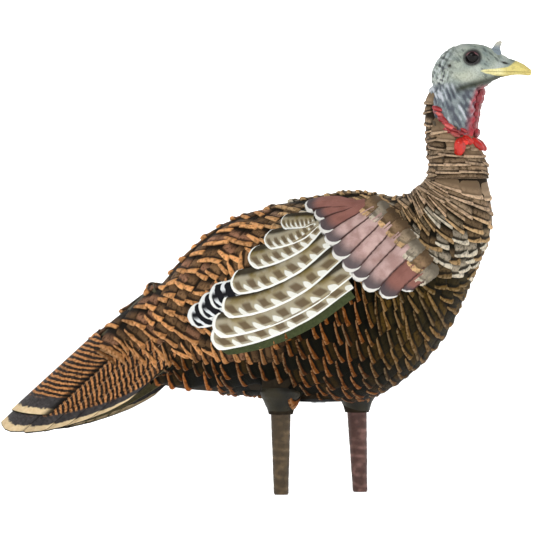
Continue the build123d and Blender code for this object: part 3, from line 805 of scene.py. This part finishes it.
def covert_material():
    """Wing coverts: smooth dusty pink, dark dividing lines, grey near the tip and a white crescent."""
    s = Shader("covert_paint", roughness=0.6)
    across, along = s.uv()
    cloud = s.noise(75.0, 4.0)
    side = s.off_shaft(across)
    pink = s.mix(s.step(cloud, 0.35, 0.7), s.paint("vane"), s.mix(0.5, s.paint("vane"), (120, 76, 66)))
    barbs = s.barbs(across, along, fine=60.0, sweep=2.2)
    streaked = s.mix(s.times(barbs, 0.22), pink, (96, 62, 56))
    grey = s.mix(s.times(s.step(along, 0.68, 0.9), 0.9), streaked, (70, 66, 70))
    lined = s.mix(s.times(s.step(across, 0.88, 0.97), 0.9), grey, (62, 38, 34))
    lined = s.mix(s.times(s.step(side, 0.9, 1.0), 0.6), lined, (62, 38, 34))
    s.bump(s.plus(barbs, s.noise(300.0)), 0.0004, 0.5)
    crescent = s.times(s.step(s.scaled(across, 0.03, along), 0.965, 0.98), s.step(across, 0.12, 0.3))
    return s.colour(s.mix(crescent, lined, (218, 216, 210)))


COVERT = covert_material()


def make_wing(name, side):
    """A folded wing: its lower edge, primaries, secondaries, coverts and shoulder feathers."""
    under, primaries, secondaries, coverts, scapulars = (Plates() for _ in range(5))
    quill(under, side, *UNDERSIDE, WING_LIFT - 3.5 * MM, edge=0.5 * MM)
    for k, line in enumerate(PRIMARIES):
        quill(primaries, side, *line, WING_LIFT - (0.5 + 1.1 * k) * MM)
    for line in SECONDARIES:
        quill(secondaries, side, *line, WING_LIFT + 0.6 * MM)
    for k, line in enumerate(COVERTS):
        tone = linear(198, 168, 162) * rng.uniform(0.85, 1.15)
        if k < 3 or k > 7:
            tone = linear(146, 98, 88) * rng.uniform(0.9, 1.15)
        quill(coverts, side, *line, WING_LIFT + 2.2 * MM, vane=tone)
    for x, z in SCAPULARS:
        vane, band, rim = body_colours(70, 200)
        # The shoulder feathers' painted root shade is only a darker copy of their vane.
        band = 0.45 * vane
        root = (x + 17 + rng.uniform(-2, 2), z + 16)
        tip = (x - 9, z - 8 + rng.uniform(-2, 2))
        middle = ((root[0] + tip[0]) / 2 + 1, (root[1] + tip[1]) / 2)
        quill(
            scapulars, side, root, middle, tip, 19, WING_LIFT + 2.6 * MM,
            edge=1.0 * MM, blunt=0.45, sink=0.55, vane=vane, band=band, rim=rim,
        )
    under.make(f"wing_edge_{name}", WING_EDGE_SHADE_AND_REFLECTION, "torso", "wing_plastic", flip=side > 0)
    primaries.make(f"primaries_{name}", PRIMARY, "torso", "wing_plastic", flip=side > 0)
    secondaries.make(f"secondaries_{name}", SECONDARY, "torso", "wing_plastic", (f"wing_{name}",), side > 0)
    coverts.make(f"coverts_{name}", COVERT, "torso", "wing_plastic", flip=side > 0)
    scapulars.make(f"scapulars_{name}", FEATHER, "torso", "wing_plastic", flip=side > 0)


# The wing's lower edge is dark olive green: painted shade with a painted green reflection.
WING_EDGE_SHADE_AND_REFLECTION = plain_material("wing_edge_shade_and_reflection", (30, 36, 16), (70, 78, 42), 0.7, depth=0.0008)
make_wing("right", -1)
make_wing("left", 1)

# ---- tail: strips along the arched fan --------------------------------------
TAIL_ARCH = 110 * MM
TAIL_STATIONS = np.array([(-30, 80), (20, 68), (75, 62), (130, 62), (190, 66), (256, 70)]) * MM
TAIL_ALONG = np.concatenate([np.linspace(0, 0.93, 46), [0.95, 0.965, 0.98, 0.99, 1.0, 1.0]])
HALF_ACROSS = np.array([0.05, 0.2, 0.4, 0.6, 0.75, 0.88, 0.96, 1])
TAIL_ACROSS = np.concatenate([-HALF_ACROSS[::-1], [0], HALF_ACROSS])


def on_tail(s, turn, height):
    """A point on the tail's arch: distance down the ridge, turn round the arch, height off it."""
    half = np.interp(s, TAIL_STATIONS[:, 0], TAIL_STATIONS[:, 1])
    drop = TAIL_ARCH * (1 - np.cos(turn))
    middle = np.array(RIDGE) + s[..., None] * ALONG_RIDGE
    flat = middle + (half * np.sin(turn))[..., None] * np.array([0, 1, 0]) - drop[..., None] * OFF_RIDGE
    out_side, out_up = np.sin(turn) * TAIL_ARCH, np.cos(turn) * half
    size = np.hypot(out_side, out_up)
    normal = (out_side / size)[..., None] * np.array([0, 1, 0]) + (out_up / size)[..., None] * OFF_RIDGE
    return flat + normal * height[..., None]


def depth_turn(depth):
    return math.acos(1 - depth * MM / TAIL_ARCH)


# Where the tail's outline lies: depth under the ridge, then distance down the ridge.
TAIL_EDGE = MM * np.array(
    [(0, 250), (12, 249), (22, 243), (36, 229), (52, 207), (66, 182), (78, 156), (88, 130), (96, 100)]
)


def tail_strip(plates, start, reach, turn_a, turn_b, lift, edge=1.6 * MM):
    """A tail feather between two turns of the arch. turn_b is its free edge; reach says where it ends."""
    u, v = np.meshgrid(TAIL_ACROSS, TAIL_ALONG)
    turn = turn_a + (turn_b - turn_a) * (u + 1) / 2
    depth = TAIL_ARCH * (1 - np.cos(turn))
    tip = reach(depth) - 5 * MM * np.abs(u) ** 6
    s = start + (tip - start) * v
    height = lift + edge * (0.5 + 0.5 * u) + 0.8 * MM * (1 - u**2) + 0.5 * MM * hump(u, 0, 0.05)
    height[:, -1] -= edge + 1.0 * MM
    height[:, 0] -= 1.0 * MM
    height[-1] -= edge + 2.0 * MM
    uvs = np.stack([(u + 1) / 2, (tip - s) / 0.1], -1)
    plates.add(on_tail(s, turn, height), uvs)


def tail_outline(inset):
    return lambda depth: np.interp(depth, TAIL_EDGE[:, 0], TAIL_EDGE[:, 1]) - inset


def pointed(top, fall):
    return lambda depth: top - fall * depth


def make_tail():
    """A middle feather over the ridge, the pair beneath it, and four down each side."""
    middle, sides = Plates(), {1: Plates(), -1: Plates()}
    turn = depth_turn(41)
    tail_strip(middle, 80 * MM, pointed(231 * MM, 0.9), -turn, turn, 3.4 * MM, edge=0.0)
    tail_strip(middle, 120 * MM, tail_outline(0.0), -depth_turn(37), depth_turn(37), 0.8 * MM, edge=0.0)
    for side, plates in sides.items():
        for near, far, start in [(33, 54, 50), (48, 68, 28), (62, 81, 4), (75, 96, -10)]:
            turns = side * depth_turn(near), side * depth_turn(far)
            tail_strip(plates, start * MM, tail_outline(1 * MM), *turns, 0.8 * MM)
    middle.make("tail_middle_feathers", TAIL, "torso", "tail_plastic", flip=True)
    sides[1].make("tail_side_feathers_left", TAIL_SIDE, "torso", "tail_plastic", flip=True)
    sides[-1].make("tail_side_feathers_right", TAIL_SIDE, "torso", "tail_plastic")


make_tail()

# ---- head and neck ----------------------------------------------------------
neck_tree = tree_of("head_shell", "body_shell_right", "body_shell_left")
head_skin = Skin(HEAD_STATIONS + [(137, 277, 214, 277)], neck_tree, 250, 220)
# Where the bare skin gives way to feathers.
EDGE_X, EDGE_Z = (136, 150, 162, 172, 214), (389, 353, 337, 322, 315)


def ripple(points, scale, seed):
    """Smooth wandering value from -1 to 1 at each point."""
    turns = np.random.default_rng(seed).normal(size=(7, 3)) / scale
    shifts = np.random.default_rng(seed + 1).uniform(0, 2 * math.pi, 7)
    return sum(np.sin(points @ t + s) for t, s in zip(turns, shifts)) / 4.0


# The beak's edge against the skin.
BEAK_Z = (402, 404, 406, 409, 411, 412.5, 414, 418, 424)
BEAK_X = (238, 224, 215, 209, 213, 230, 241, 246, 250)


def head_surface():
    """The bare head's points and colours."""
    points = head_skin.points / MM
    top_x = [s[0] for s in HEAD_STATIONS[:8]][::-1]
    top_z = [s[1] for s in HEAD_STATIONS[:8]][::-1]
    limit = np.interp(points[..., 0], top_x, top_z) + 0.4
    points[..., 2] = np.where(points[..., 0] > 214, np.minimum(points[..., 2], limit), points[..., 2])
    x, y, z = points[..., 0], np.abs(points[..., 1]), points[..., 2]
    beak_edge = np.interp(z, BEAK_Z, BEAK_X)
    beak = ramp(-3.0, 1.0, x - beak_edge + 1.4 * ripple(points, 3.0, 5))
    nape = ramp(180, 158, x) * ramp(338, 372, z) * (1 - beak)
    throat = ramp(398, 386, z) * (1 - beak)
    fine, coarse, wide = ripple(points, 1.3, 3), ripple(points, 3.2, 9), ripple(points, 9.0, 21)
    swept = points * np.array([1.0, 0.8, 0.16])
    swept[..., 0] += 0.45 * points[..., 2]
    long_folds = ripple(swept, 1.9, 13) * 1.5
    folds = np.clip(long_folds + 0.5 * coarse, -1, 1)
    wrinkles = np.clip(1.7 * ripple(points * np.array([1.0, 0.7, 1.25]), 1.25, 17), -1, 1)
    pits = ramp(0.35, 0.8, ripple(points, 1.6, 23)) * (1 - beak) * ramp(392, 404, z)
    lift = 0.25 * fine * (1 - beak) + 0.4 * coarse * (1 - beak) - 0.5 * pits
    lift += nape * (0.8 * wrinkles + 0.3 * fine) + throat * (1.25 * folds + 0.55 * coarse)
    # nostril, mouth line, ear and the ring round the eye
    nostril = hump(x, 235.5, 4.2) * hump(z + (x - 235.5) * 0.3, 419.6, 1.3) * ramp(3, 5, y)
    mouth = hump(z + 0.02 * (x - 214), 408.6, 0.55) * ramp(209, 214, x) * ramp(2, 3, y)
    ear_d = np.hypot(x - 168.5, (z - 416) * 1.1)
    ear = hump(ear_d, 0, 2.4) * ramp(5, 10, y)
    ear_ring = hump(ear_d, 5.5, 1.7) * ramp(5, 10, y)
    eye_d = np.hypot(x - EYE.x, (z - EYE.z) * 1.1)
    ring = hump(eye_d, 10.2, 1.6) * ramp(8, 12, y)
    cheek = hump(x, 190, 16) * hump(z, 403, 9) * ramp(6, 14, y)
    brow = hump(x, 196, 12) * hump(z, 438, 3.0) * ramp(8, 14, y)
    lift += -1.6 * nostril - 0.8 * mouth - 2.2 * ear
    lift += 0.9 * ear_ring + 1.2 * ring + 1.2 * cheek + 0.8 * brow
    points += head_skin.normals * lift[..., None]

    front = np.interp(z, [318, 342, 362, 382, 396], [201, 197, 200, 206, 213])
    red_front = ramp(11, 4, front - x) * ramp(398, 384, z)
    shadow = hump(z - (x - 190) * 0.3, 390, 5.0) * ramp(168, 184, x) * (1 - beak)
    border = z - np.interp(x, EDGE_X, EDGE_Z)
    red_edge = ramp(20, 6, border) * ramp(372, 350, z) * ramp(-0.3, 0.5, coarse + 0.2)
    purple = ramp(345, 330, z) * ramp(0.0, 0.6, -coarse)
    skin = layered(
        linear(122, 134, 130),
        (0.5 + 0.6 * coarse, (158, 166, 154)),
        # Painted shade in the sunk pits.
        (pits * 0.75, (84, 92, 88)),
        (ramp(0.2, 0.9, wide) * 0.5 * (1 - throat), (186, 192, 186)),
        (cheek * 0.8, (174, 178, 160)),
        # Painted shade in the nape's wrinkle troughs, then a painted highlight on their crests.
        (nape * ramp(-0.2, -0.8, wrinkles), (70, 74, 78)),
        (nape * ramp(0.3, 0.9, wrinkles) * 0.5, (204, 210, 214)),
        (throat * 0.7, (112, 122, 130)),
        # Painted shade in the throat's fold troughs, then a painted highlight on their crests.
        (throat * ramp(0.0, -0.9, folds) * 0.85, (66, 68, 80)),
        (throat * ramp(0.4, 1.0, folds) * 0.8, (190, 194, 202)),
        (red_front * (0.75 + 0.4 * coarse), (158, 52, 62)),
        (shadow * 0.9, (40, 44, 28)),
        (red_edge, (196, 66, 66)),
        (purple * 0.8, (120, 66, 88)),
        (ring * 0.9, (40, 36, 36)),
        (ramp(9.5, 8.5, eye_d) * ramp(8, 12, y), (20, 16, 16)),
    )
    yellow = layered(
        linear(206, 192, 116),
        # Painted highlight along the mouth's upper ridge.
        (ramp(413, 410.5, z) * ramp(240, 225, x), (244, 240, 190)),
        (ramp(420, 426, z) * 0.6, (176, 168, 116)),
        (ramp(405.5, 403.5, z), (150, 138, 70)),
        (ramp(254, 262, x) * 0.6, (214, 190, 108)),
        (0.35 + 0.35 * ripple(points, 6.0, 31), (196, 184, 118)),
    )
    colour = layered(
        skin + (yellow - skin) * beak[..., None],
        (nostril * 1.3, (28, 24, 20)),
        (mouth * 0.55, (110, 98, 56)),
        (ear * 1.2, (44, 38, 34)),
        (ear_ring * 0.35, (96, 100, 96)),
        (ramp(3, -1, border), (70, 60, 45)),
    )
    return points * MM, np.clip(colour, 0, 1)


def make_head():
    points, colours = head_surface()
    keep = int(np.argmax(points[:, :, 2].mean(axis=1) < SEAM_Z + 0.2 * MM))
    points, colours = points[:keep], colours[:keep]
    closed = np.concatenate([points, points[:, :1]], 1)
    shades = np.concatenate([colours, colours[:, :1]], 1)
    tip = np.broadcast_to(points[0].mean(axis=0), closed[:1].shape)
    closed, shades = np.concatenate([tip, closed]), np.concatenate([shades[:1], shades])
    uvs = np.stack(np.meshgrid(np.linspace(0, 1, closed.shape[1]), np.linspace(0, 1, closed.shape[0])), -1)
    plates = Plates()
    plates.add(closed, uvs, paint=shades)
    plates.make("head_skin", HEAD_SKIN, "head", "head_plastic", replaces=("head_shell",))


def neck_feathers():
    """Broad overlapping bands from the edge of the bare skin down over the joint."""
    plates = Plates()
    middle_step = head_skin.down[:, head_skin.columns // 4]
    row, odd = 84.0, 0
    while row < head_skin.rows - 13:
        walked = head_skin.ring(row)
        place = (odd % 2) * 11 * MM + rng.uniform(0, 6) * MM
        while place < walked[-1]:
            column = float(np.interp(place, walked, np.arange(len(walked))))
            x, _, z = head_skin.at(head_skin.points, row, column) / MM
            width = rng.uniform(30, 38) * MM
            place += width * 0.78
            if z > np.interp(x, EDGE_X, EDGE_Z) + 13:
                continue
            vane, band, rim = body_colours(max(x, 133), min(z, 270))
            # Near the bare skin nothing overlaps the roots, so their painted root shade is lightened.
            if z > np.interp(x, EDGE_X, EDGE_Z) - 4:
                band = 0.5 * vane
            shade = 0.8 + 0.2 * float(ramp(320, 290, z))
            feather(
                plates, head_skin, row - 2, column, rng.uniform(18, 21) * MM, width,
                rng.uniform(-0.16, 0.16), 3.8 * MM * rng.uniform(0.85, 1.15), 0.9 * MM, 0.93,
                rng.uniform(-0.5, 0.5) * MM, vane * shade, band, rim * shade,
            )
        row = min(row + 10.4 * MM / middle_step[int(row)], max(head_skin.rows - 14.0, row + 3))
        odd += 1
    plates.make("neck_feathers", FEATHER, "head", "head_plastic")


make_head()
neck_feathers()


def blob(plates, centre, radii, tilt, tone, seed, rough=0.12):
    """A lumpy fleshy bead, tilted about Y."""
    down, round_ = grid(np.linspace(0, math.pi, 22), once_round(33))
    ball = np.stack([np.sin(down) * np.cos(round_), np.sin(down) * np.sin(round_), np.cos(down)], -1)
    swell = 1 + rough * ripple(ball, 0.6, seed) + 0.4 * rough * ripple(ball, 0.16, seed + 7)
    shaped = ball * swell[..., None] * np.array(radii)
    turned = shaped.copy()
    turned[..., 0] = shaped[..., 0] * math.cos(tilt) + shaped[..., 2] * math.sin(tilt)
    turned[..., 2] = -shaped[..., 0] * math.sin(tilt) + shaped[..., 2] * math.cos(tilt)
    shade = np.clip(0.75 + 0.35 * ripple(ball, 0.5, seed + 3), 0.5, 1.15)[..., None] * linear(*tone)
    uvs = np.stack([round_ / (2 * math.pi), down / math.pi], -1)
    plates.add((turned + np.array(centre)) * MM, uvs, paint=np.clip(shade, 0, 1))


def neck_side(x, z):
    """Half the neck's width at a place seen from the side, in millimetres."""
    points = head_skin.points / MM
    near = np.hypot(points[..., 0] - x, points[..., 2] - z) < 4
    return float(np.abs(points[..., 1][near]).max())


# The red beads along the lower edge of the bare skin: x, z and size.
BEADS = [
    (154, 363, 5.2), (157, 356, 4.2), (161, 350, 5.6), (165, 345, 4.2), (170, 341, 5.4),
    (167, 336, 4.6), (175, 337, 4.0), (177, 331, 4.8), (183, 333, 4.2), (188, 336, 4.2),
]


def make_wattles():
    """Two bright lobes under the throat, and beads along the skin's lower and front edges."""
    plates = Plates()
    bright, dull, pink = (226, 44, 30), (168, 52, 56), (212, 96, 92)
    for side in (-1, 1):
        lobe_y = neck_side(183, 316) + 4
        blob(plates, (183, side * lobe_y, 316), (7.4, 7, 11.8), 0.2, (204, 38, 24), 40 + side, rough=0.12)
        blob(plates, (188, side * (lobe_y - 3), 323), (7, 5, 5), 0.5, bright, 45 + side, rough=0.1)
        blob(plates, (190, side * 20, 324.5), (9, 5, 5.4), 0.5, bright, 50 + side, rough=0.07)
        blob(plates, (200.5, side * 10, 320), (11.5, 5.5, 5.2), 0.7, (196, 44, 38), 60 + side, rough=0.07)
        for k, (x, z, size) in enumerate(BEADS):
            centre = (x, side * (neck_side(x, z) + 1.2), z)
            radii = (size * 1.3, size * 0.7, size * 0.6)
            blob(plates, centre, radii, 0.4, pink if k % 3 == 1 else dull, 70 + k, rough=0.2)
        for k in range(7):
            z = 384 - 8.5 * k
            x = float(np.interp(z, [318, 342, 362, 382, 396], [200, 195, 197.5, 203, 209]))
            centre = (x + 1.2, side * (4 + 1.5 * (k % 2)), z)
            blob(plates, centre, (4.0, 4.8, 6.6), 0.1, (138, 40, 48), 90 + k, rough=0.24)
    plates.make("wattles", LOBE, "head", "head_plastic")


def make_snood():
    """The small upright tab over the beak's root, bent a little forward at its tip."""
    plates = Plates()
    v, turn = grid(np.linspace(0, 1, 20), once_round(29))
    radius = 6.2 * (1 - v) ** 1.5 + 3.1 + 0.4 * np.sin(9 * v)
    radius *= np.sqrt(np.clip(1 - np.clip((v - 0.84) / 0.16, 0, 1) ** 2, 0, 1))
    x = 220.5 + 7.5 * v - 2.2 * np.sin(math.pi * v) * 0.5 + radius * np.cos(turn)
    points = np.stack([x, 0.85 * radius * np.sin(turn), 429 + 17.5 * v + 0 * turn], -1)
    shade = layered(linear(120, 132, 140), (ramp(0.4, 1, v), (190, 186, 170)))
    plates.add(points * MM, np.stack([turn / 6.3, v], -1), paint=shade)
    plates.make("snood", HEAD_SKIN, "head", "head_plastic", flip=True)


def make_eyelids():
    """A dark ring of skin round each eye, with a pinkish upper lid."""
    plates = Plates()
    turn, around = grid(once_round(61), once_round(13))
    for side in (-1, 1):
        upper = ramp(0.1, 0.9, np.sin(turn))
        radius = 8.2 - 2.0 * upper
        thick = 1.5 + 1.5 * upper
        x = EYE.x + (radius + thick * np.cos(around)) * np.cos(turn) * 1.04
        z = EYE.z + (radius + thick * np.cos(around)) * np.sin(turn) * 0.96
        y = side * (21.2 - 0.3 * (z - EYE.z) + 1.1 * upper + (thick * 0.9) * np.sin(around))
        tone = layered(linear(20, 17, 18), (upper * ramp(0.75, -0.3, np.cos(around)), (150, 98, 104)))
        plates.add(np.stack([x, y, z], -1) * MM, np.stack([turn, around], -1) / 6.3, paint=tone)
    plates.make("eyelids", LOBE, "head", "head_plastic")


make_wattles()
make_snood()
make_eyelids()


# ---- legs -------------------------------------------------------------------
def make_leg(name, tone, light):
    """A tapered stub with worn bands of scales, on its CAD stub's line."""
    corners = np.array([v.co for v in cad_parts[name].data.vertices])
    foot_z, top_z = corners[:, 2].min(), -13 * MM
    foot, top = (corners[np.abs(corners[:, 2] - z) < 0.2 * MM] for z in (foot_z, top_z))
    (foot_x, foot_y, _), (top_x, top_y, _) = ((c.min(axis=0) + c.max(axis=0)) / 2 for c in (foot, top))
    z, turn = grid(np.linspace(top_z + 4 * MM, foot_z, 120), once_round(65))
    t = (z - foot_z) / (top_z - foot_z)
    radius = (9.1 + 3.1 * t) * MM
    way = np.stack([np.cos(turn), np.sin(turn), z / (9 * MM)], -1)
    bands = np.abs(np.sin(z / (3.6 * MM) + 0.3 * np.cos(turn) + 0.7 * ripple(way, 1.2, 5)))
    radius = radius + (0.3 * bands**0.35 - 0.25 + 0.15 * ripple(way, 0.5, 15)) * MM
    radius = np.where(t < 0.015, radius * 0.93, radius)
    x = foot_x + (top_x - foot_x) * t + radius * np.cos(turn)
    y = foot_y + (top_y - foot_y) * t + radius * np.sin(turn)
    points = np.stack([x, y, z], -1)
    base = points[-1:].mean(axis=1, keepdims=True) + np.zeros_like(points[-1:])
    points = np.concatenate([points, base])
    worn = np.clip(0.35 + 0.7 * ripple(way, 0.7, 25), 0, 1) * ramp(1.0, 0.1, bands) * 0.9
    worn = worn + 0.35 * np.clip(ripple(way, 0.35, 35), 0, 1)
    shade = layered(linear(*tone), (worn, light))
    shade = np.concatenate([shade, shade[-1:]])
    plates = Plates()
    plates.add(points, np.zeros((*points.shape[:2], 2)), paint=shade)
    plates.make(f"{name}_scales", LEG, "torso", "leg_plastic", replaces=(name,))


def make_thigh(name, x, y):
    """The flare of the body into each leg, painted near-black as painted shade under the belly."""
    z, turn = grid(np.linspace(-13.2, 20, 40), once_round(65))
    radius = np.interp(z, (-13.2, -11, -4, 3, 9, 15, 20), (12.5, 15.2, 17.5, 21, 24.5, 26, 24))
    way = np.stack([np.cos(turn), np.sin(turn), z / 12], -1)
    radius = radius + (0.9 * ripple(way, 0.6, 45) + 0.4 * ripple(way, 0.2, 47)) * ramp(-13, 4, z)
    points = np.stack([x + radius * np.cos(turn), y + radius * np.sin(turn), z], -1) * MM
    # Painted shade under the belly: near-black, mottled.
    shade = layered(linear(18, 16, 9), (0.4 + 0.6 * ripple(way, 0.4, 49), (42, 37, 21)))
    plates = Plates()
    plates.add(points, np.zeros((*points.shape[:2], 2)), paint=shade)
    plates.make(f"thigh_{name}", LEG, "torso", "body_plastic", flip=True)


for thigh, (spot_x, spot_y) in zip(("right", "left"), LEG_SPOTS):
    make_thigh(thigh, spot_x, spot_y)

# Painted light and shade: leg_right is painted darker as painted shade, leg_left lighter and pinker as
# painted light; the two stubs are alike.
make_leg("leg_right", (62, 50, 34), (112, 92, 66))
make_leg("leg_left", (72, 48, 42), (142, 104, 96))

# ---- CAD pieces that stay ---------------------------------------------------
TAIL_BASE = plain_material("tail_underside", (30, 28, 15), (84, 76, 44), 0.65, depth=0.0008)
NYLON = plain_material("nylon", (16, 16, 17), (34, 34, 35), 0.45)
STEEL = plain_material("zinc_steel", (150, 150, 152), (196, 196, 198), 0.35, metallic=1.0)
ALUMINIUM = plain_material("drawn_aluminium", (178, 180, 184), (214, 216, 218), 0.3, metallic=1.0)
BRASS = plain_material("turned_brass", (168, 132, 66), (206, 172, 98), 0.3, metallic=1.0)
RUBBER = plain_material("black_rubber", (10, 10, 10), (26, 26, 26), 0.8)
EYE_GLOSS = plain_material("eye_gloss", (4, 3, 3), (14, 10, 9), 0.16, depth=0.00002)
KEPT = {
    # The body shells show in the grooves between the feathers as near-black painted shade.
    GROOVE_SHADE: ("body_shell_right", "body_shell_left"),
    TAIL_BASE: ("tail_fan",),
    NYLON: (
        "belly_flange", "back_cup", "wing_pegs", "tail_pegs", "neck_collar", "neck_spigot", "thrust_washer",
    ),
    STEEL: ("stop_pin", "retaining_clip", "flange_screws", "collar_screws", "spigot_screws", "leg_studs"),
    ALUMINIUM: ("stake_tube",),
    BRASS: ("leg_inserts",),
    RUBBER: ("grip_ring",),
    EYE_GLOSS: ("eye_right", "eye_left"),
}
for material, nodes in KEPT.items():
    for node in nodes:
        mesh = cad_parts[node].data
        mesh.materials.clear()
        mesh.materials.append(material)

# ---- camera, light and floor ------------------------------------------------
VIEW_TURN, VIEW_RISE = math.radians(12), math.radians(0.6)
CAMERA_DISTANCE = 7.0
CAMERA_TARGET = Vector((-0.0655, 0, 0.1685))
OBJECT_SPAN = 0.661  # what the frame's width covers at the target


def look_from():
    """The camera's place: level with the bird, turned a little towards its front."""
    flat = Vector((math.sin(VIEW_TURN), -math.cos(VIEW_TURN), 0)) * math.cos(VIEW_RISE)
    return CAMERA_TARGET + (flat + Vector((0, 0, math.sin(VIEW_RISE)))) * CAMERA_DISTANCE


def aim(thing, place, target):
    thing.location = place
    thing.rotation_euler = (Vector(target) - Vector(place)).to_track_quat("-Z", "Y").to_euler()


camera = bpy.data.objects.new("camera", bpy.data.cameras.new("camera"))
bpy.context.scene.collection.objects.link(camera)
camera.data.sensor_width = 36
camera.data.lens = 36 * CAMERA_DISTANCE / OBJECT_SPAN
aim(camera, look_from(), CAMERA_TARGET)
bpy.context.scene.camera = camera

LIGHTS = [  # name, place, size, watts
    ("key", (-0.5, -1.6, 2.2), 0.9, 19),
    ("front_fill", (2.0, -1.6, 0.8), 1.6, 5),
    ("rear_fill", (-1.8, 1.6, 1.4), 1.6, 7),
]
for name, place, size, watts in LIGHTS:
    lamp = bpy.data.lights.new(name, "AREA")
    lamp.size, lamp.energy = size, watts
    holder = bpy.data.objects.new(name, lamp)
    bpy.context.scene.collection.objects.link(holder)
    aim(holder, place, (0, 0, 0.15))

world = bpy.data.worlds.new("studio")
world.use_nodes = True
world.node_tree.nodes["Background"].inputs["Color"].default_value = (1, 1, 1, 1)
world.node_tree.nodes["Background"].inputs["Strength"].default_value = 0.3
bpy.context.scene.world = world
bpy.context.scene.view_settings.view_transform = "Standard"


def make_floor():
    """A pale floor that curves up into a backdrop all round."""
    flat_radius, bend, tall = 11.0, 2.0, 6.9
    profile = [(0, 0), (flat_radius, 0)]
    for a in np.linspace(0.12, math.pi / 2, 10):
        profile.append((flat_radius + bend * math.sin(a), bend * (1 - math.cos(a))))
    profile.append((flat_radius + bend, tall))
    turns = np.linspace(0, 2 * math.pi, 65)[:-1]
    points = [(r * math.cos(t), r * math.sin(t), FLOOR_Z + h) for r, h in profile for t in turns]
    n = len(turns)
    faces = [
        (i * n + j, i * n + (j + 1) % n, (i + 1) * n + (j + 1) % n, (i + 1) * n + j)
        for i in range(len(profile) - 1)
        for j in range(n)
    ]
    mesh = bpy.data.meshes.new("floor")
    mesh.from_pydata(points, [], faces)
    mesh.polygons.foreach_set("use_smooth", [True] * len(faces))
    floor = bpy.data.objects.new("floor", mesh)
    bpy.context.scene.collection.objects.link(floor)
    glow = {"Emission_Color": (1, 1, 1, 1), "Emission_Strength": 0.72}
    white, whiter = (244, 244, 243), (248, 248, 247)
    paint = plain_material("floor_paint", white, whiter, 0.9, grain=3.0, depth=0.0001, **glow)
    mesh.materials.append(paint)


make_floor()
